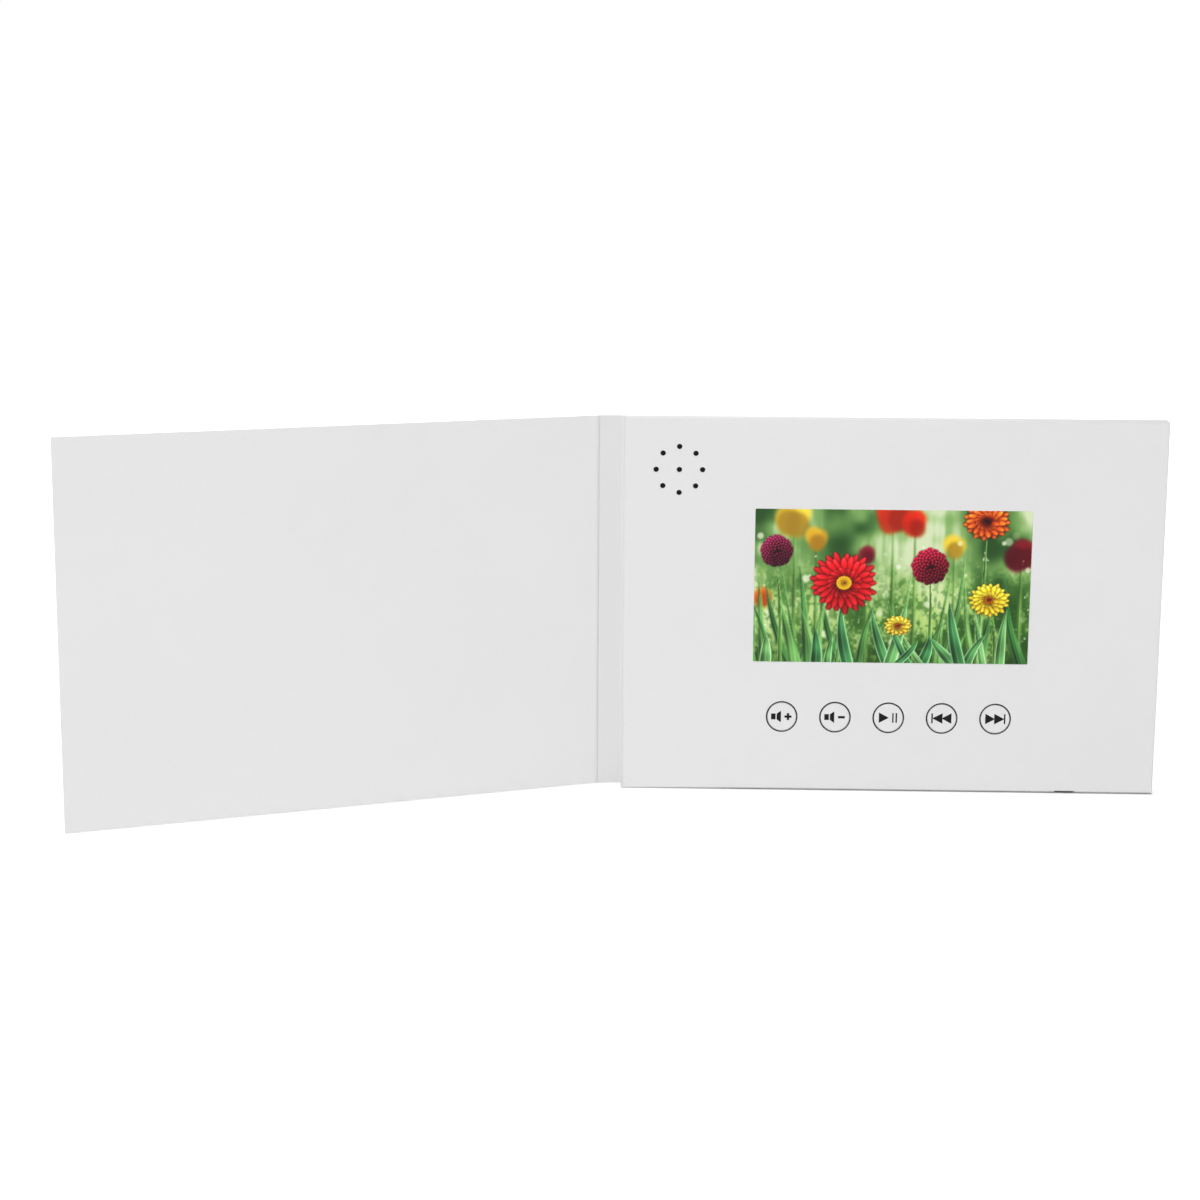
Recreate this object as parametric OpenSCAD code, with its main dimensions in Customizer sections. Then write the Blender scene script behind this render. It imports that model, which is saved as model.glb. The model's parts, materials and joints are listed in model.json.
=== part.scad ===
// Video brochure: a folded card cover, opened like a book and standing on its lower edge,
// with a thin electronics block bonded to the inside of the back cover.
// X runs along the block's width, Y from the front panel to the back, Z up.
// The origin is the middle of the block's lower edge face.

/* [Block] */
// Width of the block and of the back cover
block_w = 210; // [206:1:260]
// Height of the block, the spine and the front cover
block_h = 148; // [144:1:190]
// Thickness of the front panel card
panel_t = 0.8; // [0.5:0.1:1.6]
// Thickness of the core that holds the electronics
core_t = 5.8; // [5.6:0.1:9]
// Thickness of the board behind the core
back_board_t = 1.4; // [0.8:0.1:2.5]
// Thickness of the paper band round the block's edges
band_t = 0.3; // [0.2:0.05:0.6]
// Width of the core left outside the outermost pockets
rim_w = 4.5; // [3:0.5:6]
// Clearance round each piece in its pocket
pocket_gap = 0.3; // [0.2:0.05:0.5]

/* [Cover] */
// Thickness of the outer sheet of the cover
sheet_t = 0.4; // [0.2:0.05:0.6]
// Thickness of the inner liner of the cover
liner_t = 0.2; // [0.1:0.05:0.4]
// Thickness of the stiffening card inside the front cover
card_t = 0.4; // [0.3:0.1:2]
// Gap between the block and the closed cover
closing_gap = 0.2; // [0.1:0.05:0.5]
// Width of the soft stretch of each crease
crease_w = 1.2; // [0.8:0.1:2]
// Angle that the spine is opened towards the viewer from the block's plane
spine_angle = 7; // [0:0.5:30]
// Angle that the front cover is opened towards the viewer from the block's plane
cover_angle = 22.4; // [7:0.1:60]

/* [Screen] */
// Width of the window in the front panel
window_w = 107.6; // [80:0.1:108]
// Height of the window in the front panel
window_h = 60.9; // [45:0.1:61]
// Height of the window's lower edge above the block's lower edge
window_v = 52.0; // [50:0.1:54]
// Corner radius of the window
window_r = 0.5; // [0.3:0.1:2]
// Width of the display module
lcd_w = 120.7; // [118:0.1:121]
// Height of the display module
lcd_h = 75.8; // [74:0.1:78]
// Thickness of the display module
lcd_t = 3.0; // [2.8:0.1:3.6]
// Border of the display module below the window
lcd_border = 9.7; // [8:0.1:12]
// Thickness of the display's two glass plates together
glass_t = 1.1; // [0.8:0.1:1.3]
// Thickness of the polarising film
film_t = 0.2; // [0.1:0.05:0.3]
// Wall of the display module's frame
frame_wall = 0.6; // [0.4:0.1:1]
// Floor of the display module's frame
frame_floor = 0.4; // [0.3:0.1:0.6]
// Thickness of the adhesive tape that holds the display to the panel
tape_t = 0.3; // [0.1:0.05:0.4]

/* [Keys] */
// Diameter of a key disc
key_d = 11.2; // [8:0.1:13]
// Radial clearance of a key disc in the front panel
key_gap = 0.15; // [0.1:0.05:0.3]
// Distance between neighbouring keys
key_pitch = 21; // [16:0.5:22]
// Height of the keys' centres above the block's lower edge
key_v = 29.9; // [24:0.1:32]
// Travel of a key
key_travel = 0.3; // [0.2:0.05:0.3]
// Diameter of a switch stem
stem_d = 3.2; // [2:0.1:3.6]
// Radial clearance of a stem in its switch
stem_gap = 0.2; // [0.1:0.05:0.3]
// Side of a square switch body
switch_w = 5.2; // [5:0.1:6.5]

/* [Sound] */
// Distance of the speaker's centre from the block's left side
speaker_u = 21.4; // [20:0.1:21.4]
// Distance of the speaker's centre below the block's top
speaker_drop = 20.1; // [20:0.1:21]
// Outer diameter of the speaker
speaker_d = 28; // [22:0.5:28]
// Depth of the speaker with its magnet
speaker_t = 4.8; // [4.6:0.1:4.8]
// Diameter of a sound hole
sound_hole_d = 2.0; // [1:0.1:3]
// Diameter of the ring of sound holes
sound_ring_d = 18; // [14:0.5:20]
// Number of sound holes in the ring
sound_hole_count = 8; // [6:1:10]

/* [Electronics] */
// Distance from the panel's inner face to the front of both circuit boards
board_depth = 3.0; // [3:0.1:3.2]
// Thickness of the circuit boards
board_t = 1.0; // [0.6:0.1:1.2]
// Width of the main board
board_w = 36; // [34:0.5:36]
// Height of the main board
board_h = 92; // [80:1:92]
// Distance of the charging socket's centre from the block's right side
usb_from_right = 35; // [33:0.5:36]
// Width of the charging socket's shell
usb_w = 7.6; // [7:0.1:8]
// Depth of the charging socket's shell
usb_t = 2.6; // [2.4:0.1:2.8]
// Length of the charging socket's shell
usb_l = 5.6; // [5:0.1:7]
// Width of the battery cell
battery_w = 34; // [28:0.5:34]
// Height of the battery cell
battery_h = 60; // [50:0.5:60]
// Thickness of the battery cell
battery_t = 4.0; // [3:0.1:4.2]
// Height of the battery's lower edge above the block's lower edge
battery_v = 36; // [20:1:36]
// Diameter of an insulated lead
lead_d = 0.9; // [0.6:0.1:1]
// Distance between the two leads of a pair
lead_pitch = 1.3; // [1.1:0.1:1.4]
// Diameter of the magnet in the front cover
magnet_d = 10; // [6:0.5:12]

/* [Hidden] */
$fn = 64;
block_t = panel_t + core_t + back_board_t + sheet_t;
front_y = -block_t / 2;
inner_y = front_y + panel_t;
back_y = block_t / 2;
left_x = -block_w / 2;
spine_t = sheet_t + liner_t;
cover_t = sheet_t + card_t + liner_t;
// The crease line beside the block lies one spine thickness and one gap out from its left side,
// so that the closed spine stands beside the block and the closed cover lies over its front.
pivot_x = left_x - closing_gap - spine_t;
spine_w = block_t + closing_gap + cover_t;
cover_w = block_w / 2 - pivot_x;
half_crease = crease_w / 2;
fold_angle = cover_angle - spine_angle;
cut = 1;
// Display
lcd_u = (block_w - lcd_w) / 2;
lcd_v = window_v - lcd_border;
lcd_d = tape_t;
tape_margin = 0.8;
bond_h = 4;
lcd_pocket_t = lcd_d + lcd_t + 0.2;
lcd_pocket_top = lcd_v + lcd_h + pocket_gap;
// Keys, left to right
keys_u = [for (i = [0:4]) block_w / 2 + (i - 2) * key_pitch];
key_hole_d = key_d + 2 * key_gap;
switch_depth = 2 * key_travel;
stem_l = switch_depth + key_travel + 0.2;
key_board_margin = 12;
key_board_w = 4 * key_pitch + key_board_margin;
key_board_h = 12;
key_board_u = (block_w - key_board_w) / 2;
key_board_v = key_v - key_board_h / 2;
// Main board
board_u = block_w - rim_w - pocket_gap - board_w;
board_v = 1.4;
board_top = board_v + board_h;
usb_u = block_w - usb_from_right;
usb_v = 0.4;
usb_wall = 0.3;
mouth_gap = 0.5;
mouth_t = board_depth + 0.2;
notch_h = 0.5;
tongue_w = 3.6;
tongue_t = 0.6;
tongue_setback = 0.8;
ribbon_t = 0.15;
ribbon_w = 22;
ribbon_v = lcd_v + 18;
tail_gap = 0.4;
ribbon_lap = 3;
key_ribbon_w = 6;
socket_at = [2, ribbon_v - board_v - 1.5];
socket_size = [5, ribbon_w + 3, 1.8];
// Chips on the main board: place from its lower left corner, then width, height and thickness
processor_at = [18, 30];
processor_size = [12, 12, 1.1];
memory_at = [18, 50];
memory_size = [12, 18, 1.1];
amplifier_at = [22, 77];
charger_at = [22, 12];
small_chip_size = [4, 5, 1.4];
crystal_at = [20, 24];
crystal_size = [8, 3.2, 1.3];
capacitor_rows = [[13, 32], [13, 74], [30, 8]];
capacitor_size = [1, 2, 0.7];
capacitor_pitch = 3;
leg_w = 0.3;
leg_l = 0.8;
reed_u = block_w - rim_w - 5;
reed_v = board_top - 12;
reed_d = 2;
reed_l = 10;
foam_t = 0.2;
tape_inset = 5;
// Battery
battery_u = rim_w + pocket_gap;
battery_d = 0.1;
guard_h = 4;
guard_v = battery_v + battery_h;
guard_t = battery_d + battery_t - board_depth;
battery_lead_start = 2.5;
battery_pocket_t = battery_d + battery_t + foam_t;
// Speaker
speaker_v = block_h - speaker_drop;
scrim_t = 0.1;
speaker_pocket_t = scrim_t + speaker_t + 0.1;
terminal_drop = 3.5;
basket_wall = 1.2;
basket_t = 2.6;
basket_floor = 0.5;
basket_hole_r = 5;
film_thickness = 0.15;
rim_d = 0.9;
crest_d = 1.6;
coil_r = 4;
coil_wall = 0.4;
coil_end = 3.3;
coil_clearance = 0.3;
magnet_gap_end = 3.8;
motor_r = 7;
// Lead channels: one beside the display, one above it
channel_t = board_depth;
column_w = 7.5;
column_u = lcd_u - pocket_gap - column_w - 0.6;
channel_v = lcd_pocket_top + 1.2;
channel_h = 5 * lead_pitch;
drop_u = board_u + 5.5;
drop_w = 4 * lead_pitch + 3;
lead_depth = board_depth - lead_d / 2;
battery_lead_u = column_u + 1.1;
speaker_lead_u = battery_lead_u + 2.4 * lead_pitch;
battery_lead_v = channel_v + 0.9;
speaker_lead_v = battery_lead_v + 2.2 * lead_pitch;
battery_pad_u = board_u + 7;
speaker_pad_u = battery_pad_u + 2.2 * lead_pitch;
pad_v = board_top - 3;
// Colours
paper = [0.92, 0.92, 0.92];
grey_board = [0.68, 0.66, 0.62];
circuit_green = [0.05, 0.3, 0.16];
chip_black = [0.09, 0.09, 0.1];
metal = [0.75, 0.76, 0.78];
copper = [0.8, 0.5, 0.2];

// Moves to a point on the block: u from its left side, v from its lower edge,
// d behind the inner face of the front panel.
module at(u, v, d) translate([left_x + u, inner_y + d, v]) children();

// Box with its lower left front corner at u, v, d.
module slab(u, v, d, w, h, t) at(u, v, d) cube([w, t, h]);

// Round bar that runs backwards from u, v, d.
module bar(u, v, d, dia, len) at(u, v, d) rotate([-90, 0, 0]) cylinder(d = dia, h = len);

// Turned piece: its profile is drawn as radius and depth.
module turned(u, v, d, profile) at(u, v, d) rotate([-90, 0, 0]) rotate_extrude() polygon(profile);

// Pocket in the core, open to the front panel.
module pocket(u, v, w, h, t) slab(u, v, -cut, w, h, t + cut);

// Pocket that leaves the named clearance round a box.
module pocket_round(u, v, w, h, t)
    pocket(u - pocket_gap, v - pocket_gap, w + 2 * pocket_gap, h + 2 * pocket_gap, t);

// Insulated lead through a list of points on the block.
module lead(points) {
    for (i = [0:len(points) - 2]) {
        run = points[i + 1] - points[i];
        at(points[i][0], points[i][1], lead_depth)
            rotate([0, atan2(run[0], run[1]), 0])
                cylinder(d = lead_d, h = norm(run), $fn = 24);
    }
    for (i = [1:len(points) - 2])
        at(points[i][0], points[i][1], lead_depth) sphere(d = lead_d, $fn = 24);
}

// Frame of the spine: its origin is the crease beside the block, on the outer surface.
module on_spine() translate([pivot_x, back_y, 0]) rotate([0, 0, spine_angle]) children();

// Frame of the cover: its origin is the crease beside the spine, on the outer surface.
module on_cover() on_spine() translate([-spine_w, 0, 0]) rotate([0, 0, fold_angle]) children();

// Full-height layer of a cover, from one distance to another along it and through its thickness.
module layer(from, to, outer, inner)
    translate([-to, -inner, 0]) cube([to - from, inner - outer, block_h]);

// Soft stretch of card bent by an angle about the crease line, which lies on its outer surface.
module crease(angle, near) {
    far_outer = [-half_crease * cos(angle), -half_crease * sin(angle)];
    far_inner = far_outer + spine_t * [sin(angle), -cos(angle)];
    bend_inner = spine_t * [tan(angle / 2), -1];
    linear_extrude(height = block_h)
        polygon([[near, -spine_t], [near, 0], [0, 0], far_outer, far_inner, bend_inner]);
}

// Window outline with rounded corners.
module window_outline() {
    x0 = (block_w - window_w) / 2;
    r = window_r;
    slab(x0 + r, window_v, -panel_t - cut, window_w - 2 * r, window_h, panel_t + 2 * cut);
    slab(x0, window_v + r, -panel_t - cut, window_w, window_h - 2 * r, panel_t + 2 * cut);
    for (u = [x0 + r, x0 + window_w - r], v = [window_v + r, window_v + window_h - r])
        bar(u, v, -panel_t - cut, 2 * r, panel_t + 2 * cut);
}

// Card that the reader sees: window, sound holes, key holes and a notch at the charging socket.
module front_panel() color(paper)
    difference() {
        slab(0, 0, -panel_t, block_w, block_h, panel_t);
        window_outline();
        bar(speaker_u, speaker_v, -panel_t - cut, sound_hole_d, panel_t + 2 * cut);
        for (i = [0:sound_hole_count - 1]) {
            a = i * 360 / sound_hole_count;
            r = sound_ring_d / 2;
            bar(speaker_u + r * sin(a), speaker_v + r * cos(a), -panel_t - cut, sound_hole_d,
                panel_t + 2 * cut);
        }
        for (u = keys_u) bar(u, key_v, -panel_t - cut, key_hole_d, panel_t + 2 * cut);
        slab(usb_u - usb_w / 2 - mouth_gap, -cut, -panel_t - cut, usb_w + 2 * mouth_gap,
            notch_h + cut, panel_t + 2 * cut);
    }

// Paper band that closes the four edges of the block.
module side_band() color(paper)
    difference() {
        slab(0, 0, 0, block_w, block_h, core_t + back_board_t);
        slab(band_t, band_t, -cut, block_w - 2 * band_t, block_h - 2 * band_t,
            core_t + back_board_t + 2 * cut);
        slab(usb_u - usb_w / 2 - mouth_gap, -cut, -cut, usb_w + 2 * mouth_gap, 2 * cut,
            cut + mouth_t);
    }

// Foam core with a pocket for each part and channels for the leads and ribbons.
module core_frame() color(grey_board)
    difference() {
        slab(band_t, band_t, 0, block_w - 2 * band_t, block_h - 2 * band_t, core_t);
        pocket_round(lcd_u, lcd_v, lcd_w, lcd_h, lcd_pocket_t);
        pocket_round(board_u, board_v, board_w, board_h, board_depth + board_t + foam_t);
        pocket_round(battery_u, battery_v, battery_w, battery_h + guard_h, battery_pocket_t);
        pocket_round(key_board_u, key_board_v, key_board_w, key_board_h, board_depth + board_t);
        bar(speaker_u, speaker_v, -cut, speaker_d + 2 * pocket_gap, speaker_pocket_t + cut);
        // Mouth of the charging socket
        pocket(usb_u - usb_w / 2 - mouth_gap, -cut, usb_w + 2 * mouth_gap, board_v + cut, mouth_t);
        // Key ribbon, display ribbon and its tail
        pocket(key_board_u + key_board_w, key_v - key_ribbon_w / 2 - 1, board_u - key_board_u - key_board_w,
            key_ribbon_w + 2, board_depth + 0.1);
        pocket(lcd_u + lcd_w, ribbon_v - 1, board_u - lcd_u - lcd_w, ribbon_w + 2, lcd_pocket_t + 0.1);
        pocket(block_w / 2 - ribbon_w / 2 - 1, lcd_v - 3 * tail_gap, ribbon_w + 2, 3 * tail_gap, lcd_pocket_t + 0.1);
        // Leads: column beside the display, channel above it and its drop to the main board
        pocket(column_u, guard_v - cut, column_w, speaker_v + terminal_drop - guard_v + cut, channel_t);
        pocket(battery_u + battery_w - cut, guard_v, column_u + column_w - battery_u - battery_w + cut, guard_h,
            channel_t);
        pocket(speaker_u, speaker_v - terminal_drop, column_u - speaker_u + cut, 2 * terminal_drop, channel_t);
        pocket(column_u, channel_v, drop_u + drop_w - column_u, channel_h, channel_t);
        pocket(drop_u, board_top - cut, drop_w, channel_v - board_top + 2 * cut, channel_t);
    }

// Stiff board behind the core.
module back_board() color(grey_board)
    slab(band_t, band_t, core_t, block_w - 2 * band_t, block_h - 2 * band_t, back_board_t);

// Back cover: the stretch of the outer sheet that the block is bonded to.
module back_sheet() color(paper)
    slab(0, 0, core_t + back_board_t, block_w, block_h, sheet_t);

// Crease between the back cover and the spine.
module block_crease() color(paper)
    translate([pivot_x, back_y, 0]) crease(spine_angle, left_x - pivot_x);

// Frame of adhesive tape between the panel and the display.
module lcd_tape() color("dimgray")
    difference() {
        slab(lcd_u, lcd_v, 0, lcd_w, lcd_h, tape_t);
        slab((block_w - window_w) / 2 - tape_margin, window_v - tape_margin, -cut,
            window_w + 2 * tape_margin, window_h + 2 * tape_margin, tape_t + 2 * cut);
    }

// Polarising film, the surface of the screen.
module lcd_polariser() color("darkolivegreen")
    slab(lcd_u + frame_wall, lcd_v + frame_wall + bond_h, lcd_d, lcd_w - 2 * frame_wall,
        lcd_h - 2 * frame_wall - bond_h, film_t);

// Two bonded glass plates of the display.
module lcd_glass() color("darkslategray")
    slab(lcd_u + frame_wall, lcd_v + frame_wall, lcd_d + film_t, lcd_w - 2 * frame_wall,
        lcd_h - 2 * frame_wall, glass_t);

// Light guide that spreads the backlight.
module lcd_light_guide() color("whitesmoke")
    slab(lcd_u + frame_wall, lcd_v + frame_wall, lcd_d + film_t + glass_t, lcd_w - 2 * frame_wall,
        lcd_h - 2 * frame_wall, lcd_t - frame_floor - film_t - glass_t);

// Metal tray that holds the display together.
module lcd_frame() color(metal)
    difference() {
        slab(lcd_u, lcd_v, lcd_d, lcd_w, lcd_h, lcd_t);
        slab(lcd_u + frame_wall, lcd_v + frame_wall, lcd_d - cut, lcd_w - 2 * frame_wall,
            lcd_h - 2 * frame_wall, lcd_t - frame_floor + cut);
        // Slot for the ribbon in the lower wall
        slab(block_w / 2 - ribbon_w / 2 - 0.5, lcd_v - cut, lcd_d - cut, ribbon_w + 1,
            frame_wall + 1.5 * cut, cut + film_t + glass_t / 2);
    }

// Flat ribbon: from the glass, round the lower edge, up behind the display, across and into its socket.
module lcd_ribbon() color(copper) {
    tail_u = block_w / 2 - ribbon_w / 2;
    front_d = lcd_d + film_t - ribbon_t;
    rear_d = lcd_d + lcd_t;
    drop_v = lcd_v - tail_gap;
    riser_u = board_u - 2;
    slab(tail_u, drop_v, front_d, ribbon_w, lcd_v + frame_wall + ribbon_lap - drop_v, ribbon_t);
    slab(tail_u, drop_v, front_d, ribbon_w, ribbon_t, rear_d + ribbon_t - front_d);
    slab(tail_u, drop_v, rear_d, ribbon_w, ribbon_v + ribbon_w - drop_v, ribbon_t);
    slab(tail_u, ribbon_v, rear_d, riser_u - tail_u, ribbon_w, ribbon_t);
    slab(riser_u, ribbon_v, board_depth - ribbon_t, ribbon_t, ribbon_w, rear_d + 2 * ribbon_t - board_depth);
    slab(riser_u, ribbon_v, board_depth - ribbon_t, board_u + ribbon_lap - riser_u, ribbon_w, ribbon_t);
}

// Main circuit board.
module main_board() color(circuit_green)
    slab(board_u, board_v, board_depth, board_w, board_h, board_t);

// Box-shaped part on the front of the main board, placed from the board's lower left corner.
module on_board(place, size)
    slab(board_u + place[0], board_v + place[1], board_depth - size[2], size[0], size[1], size[2]);

// Chip with a row of legs along both long sides, as one solid.
module legged_chip(place, size, legs) {
    leg_pitch = size[1] / legs;
    on_board(place, size);
    for (i = [0:legs - 1], side = [-leg_l, size[0]])
        on_board(place + [side, (i + 0.5) * leg_pitch - leg_w / 2], [leg_l, leg_w, size[2] / 2]);
}

// Video processor.
module processor_chip() color(chip_black) on_board(processor_at, processor_size);

// Memory that stores the videos.
module memory_chip() color(chip_black) legged_chip(memory_at, memory_size, 20);

// Amplifier for the speaker.
module amplifier_chip() color(chip_black) legged_chip(amplifier_at, small_chip_size, 4);

// Battery charger.
module charger_chip() color(chip_black) legged_chip(charger_at, small_chip_size, 4);

// Clock crystal.
module crystal_can() color(metal) on_board(crystal_at, crystal_size);

// Small capacitors and resistors, in rows of four.
module board_capacitors() color("tan")
    for (row = capacitor_rows, i = [0:3]) on_board(row + [0, i * capacitor_pitch], capacitor_size);

// Socket that clamps the display's ribbon.
module ribbon_socket() color("ivory")
    difference() {
        on_board(socket_at, socket_size);
        on_board([socket_at[0] - cut, ribbon_v - board_v], [1 + cut, ribbon_w, ribbon_t]);
    }

// Outline of the charging socket seen from its mouth, narrowed on one side so that a plug fits one way.
function socket_outline(inset) = [
    [-usb_w / 2 + inset, -usb_t + inset], [usb_w / 2 - inset, -usb_t + inset],
    [usb_w / 2 - inset, -usb_t * 0.4], [usb_w / 2 - 1.2, -inset],
    [-usb_w / 2 + 1.2, -inset], [-usb_w / 2 + inset, -usb_t * 0.4]
];

// Metal shell of the charging socket, open at the block's lower edge.
module usb_shell() color(metal)
    at(usb_u, usb_v, board_depth) difference() {
        linear_extrude(height = usb_l) polygon(socket_outline(0));
        translate([0, 0, -cut]) linear_extrude(height = usb_l - usb_wall + cut) polygon(socket_outline(usb_wall));
    }

// Contact tongue inside the charging socket.
module usb_tongue() color(chip_black)
    slab(usb_u - tongue_w / 2, usb_v + tongue_setback, board_depth - usb_t / 2 - tongue_t / 2, tongue_w,
        usb_l - usb_wall - tongue_setback, tongue_t);

// Reed switch in its glass tube: the magnet in the closed cover holds it.
module reed_switch() color("palegreen") at(reed_u, reed_v - reed_l / 2, board_depth - reed_d / 2)
    cylinder(d = reed_d, h = reed_l, $fn = 32);

// Adhesive tape under the main board.
module board_tape() color("gold")
    slab(board_u + tape_inset, board_v + tape_inset, board_depth + board_t, board_w - 2 * tape_inset,
        board_h - 2 * tape_inset, foam_t);

// Flat battery cell.
module battery_cell() color("silver")
    slab(battery_u, battery_v, battery_d, battery_w, battery_h, battery_t);

// Protection board on the battery's upper edge.
module battery_guard_board() color(circuit_green)
    slab(battery_u, guard_v, board_depth, battery_w, guard_h - pocket_gap, guard_t);

// Adhesive tape under the battery.
module battery_tape() color("gold")
    slab(battery_u + tape_inset, battery_v + tape_inset, battery_d + battery_t, battery_w - 2 * tape_inset,
        battery_h - 2 * tape_inset, foam_t);

// Pair of leads from the battery to the main board.
module battery_leads() color("firebrick") {
    start_u = battery_u + battery_w - battery_lead_start;
    start_v = guard_v + 1;
    lead([[start_u, start_v], [battery_lead_u + lead_pitch, start_v],
        [battery_lead_u + lead_pitch, battery_lead_v], [battery_pad_u, battery_lead_v], [battery_pad_u, pad_v]]);
    lead([[start_u, start_v + lead_pitch], [battery_lead_u, start_v + lead_pitch],
        [battery_lead_u, battery_lead_v + lead_pitch],
        [battery_pad_u + lead_pitch, battery_lead_v + lead_pitch], [battery_pad_u + lead_pitch, pad_v]]);
}

// Pair of leads from the speaker to the main board.
module speaker_leads() color("black")
    for (shift = [0, lead_pitch])
        lead([
            [speaker_u + speaker_d / 2, speaker_v + shift],
            [speaker_lead_u + shift, speaker_v + shift],
            [speaker_lead_u + shift, speaker_lead_v + shift],
            [speaker_pad_u + shift, speaker_lead_v + shift],
            [speaker_pad_u + shift, pad_v]
        ]);

// Black cloth behind the sound holes.
module speaker_scrim() color("black") bar(speaker_u, speaker_v, 0, speaker_d - 2, scrim_t);

// Speaker basket: a rim and a floor with a hole for the coil.
module speaker_frame() color(chip_black)
    turned(speaker_u, speaker_v, scrim_t, [
        [speaker_d / 2 - basket_wall, 0], [speaker_d / 2, 0], [speaker_d / 2, basket_t], [basket_hole_r, basket_t],
        [basket_hole_r, basket_t - basket_floor], [speaker_d / 2 - basket_wall, basket_t - basket_floor]
    ]);

// Thin moving cone with a domed middle.
module speaker_cone() color("dimgray") {
    rim = speaker_d / 2 - basket_wall;
    outline = [[0, rim_d], [coil_r, crest_d], [rim - 2, rim_d - 0.2], [rim, rim_d]];
    turned(speaker_u, speaker_v, scrim_t, concat(outline,
        [for (i = [len(outline) - 1:-1:0]) outline[i] + [0, film_thickness]]));
}

// Voice coil on the cone.
module speaker_coil() color(copper)
    turned(speaker_u, speaker_v, scrim_t, [
        [coil_r - coil_wall, crest_d + film_thickness], [coil_r, crest_d + film_thickness],
        [coil_r, coil_end], [coil_r - coil_wall, coil_end]
    ]);

// Magnet and yoke, with a ring-shaped gap for the coil.
module speaker_magnet() color(metal)
    turned(speaker_u, speaker_v, scrim_t, [
        [0, basket_t], [coil_r - coil_wall - coil_clearance, basket_t],
        [coil_r - coil_wall - coil_clearance, magnet_gap_end], [coil_r + coil_clearance, magnet_gap_end],
        [coil_r + coil_clearance, basket_t], [motor_r, basket_t], [motor_r, speaker_t], [0, speaker_t]
    ]);

// Board that carries the five switches.
module key_board() color(circuit_green)
    slab(key_board_u, key_board_v, board_depth, key_board_w, key_board_h, board_t);

// Five switch bodies, each with a blind bore for its stem.
module key_switches() color(chip_black)
    for (u = keys_u)
        difference() {
            slab(u - switch_w / 2, key_v - switch_w / 2, switch_depth, switch_w, switch_w,
                board_depth - switch_depth);
            bar(u, key_v, switch_depth - cut, stem_d + 2 * stem_gap, cut + 2 * key_travel + 0.3);
        }

// Ribbon from the key board to the main board.
module key_ribbon() color(copper)
    slab(key_board_u + key_board_w - ribbon_lap, key_v - key_ribbon_w / 2, board_depth - ribbon_t,
        board_u - key_board_u - key_board_w + 2 * ribbon_lap, key_ribbon_w, ribbon_t);

// Key disc, level with the front panel.
module key_disc(i) color(paper) bar(keys_u[i], key_v, -panel_t, key_d, panel_t);

// Switch stem behind a key disc.
module key_stem(i) color("black") bar(keys_u[i], key_v, 0, stem_d, stem_l);

module volume_up_key() key_disc(0);
module volume_down_key() key_disc(1);
module play_pause_key() key_disc(2);
module previous_key() key_disc(3);
module next_key() key_disc(4);
module volume_up_stem() key_stem(0);
module volume_down_stem() key_stem(1);
module play_pause_stem() key_stem(2);
module previous_stem() key_stem(3);
module next_stem() key_stem(4);

// Outer sheet of the spine.
module spine_sheet() color(paper) on_spine() layer(half_crease, spine_w - half_crease, 0, sheet_t);

// Inner liner of the spine.
module spine_liner() color(paper) on_spine() layer(half_crease, spine_w - half_crease, sheet_t, spine_t);

// Crease between the spine and the front cover.
module cover_crease() color(paper) on_spine() translate([-spine_w, 0, 0]) crease(fold_angle, half_crease);

// Outer sheet of the front cover.
module cover_sheet() color(paper) on_cover() layer(half_crease, cover_w, 0, sheet_t);

// Magnet's place in the cover: opposite the reed switch when the cover is closed.
module on_magnet() on_cover() translate([-(reed_u + left_x - pivot_x), -sheet_t, reed_v])
    rotate([90, 0, 0]) children();

// Stiffening card of the front cover, with a hole for the magnet.
module cover_card() color(grey_board)
    difference() {
        on_cover() layer(half_crease, cover_w, sheet_t, sheet_t + card_t);
        on_magnet() translate([0, 0, -cut]) cylinder(d = magnet_d, h = card_t + 2 * cut);
    }

// Inner liner of the front cover.
module cover_liner() color(paper) on_cover() layer(half_crease, cover_w, sheet_t + card_t, cover_t);

// Thin disc magnet inside the front cover.
module cover_magnet() color(metal) on_magnet() cylinder(d = magnet_d, h = card_t);

front_panel();
side_band();
core_frame();
back_board();
back_sheet();
block_crease();
lcd_tape();
lcd_polariser();
lcd_glass();
lcd_light_guide();
lcd_frame();
lcd_ribbon();
main_board();
processor_chip();
memory_chip();
amplifier_chip();
charger_chip();
crystal_can();
board_capacitors();
ribbon_socket();
usb_shell();
usb_tongue();
reed_switch();
board_tape();
battery_cell();
battery_guard_board();
battery_tape();
battery_leads();
speaker_scrim();
speaker_frame();
speaker_cone();
speaker_coil();
speaker_magnet();
speaker_leads();
key_board();
key_switches();
key_ribbon();
volume_up_key();
volume_down_key();
play_pause_key();
previous_key();
next_key();
volume_up_stem();
volume_down_stem();
play_pause_stem();
previous_stem();
next_stem();
spine_sheet();
spine_liner();
cover_crease();
cover_sheet();
cover_card();
cover_liner();
cover_magnet();
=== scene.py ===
# Looks of a folded card brochure with a built-in screen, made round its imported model.
# Lengths in this file are millimetres until a mesh is made. The block's own coordinates are u from its
# left side, d behind the inner face of its front panel and v up from its lower edge.

import json
import logging
import math
from dataclasses import dataclass, field
from enum import Enum
from typing import Sequence, Union

import bmesh
import bpy
import numpy as np
from mathutils import Matrix, Vector
from mathutils.geometry import delaunay_2d_cdt


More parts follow.
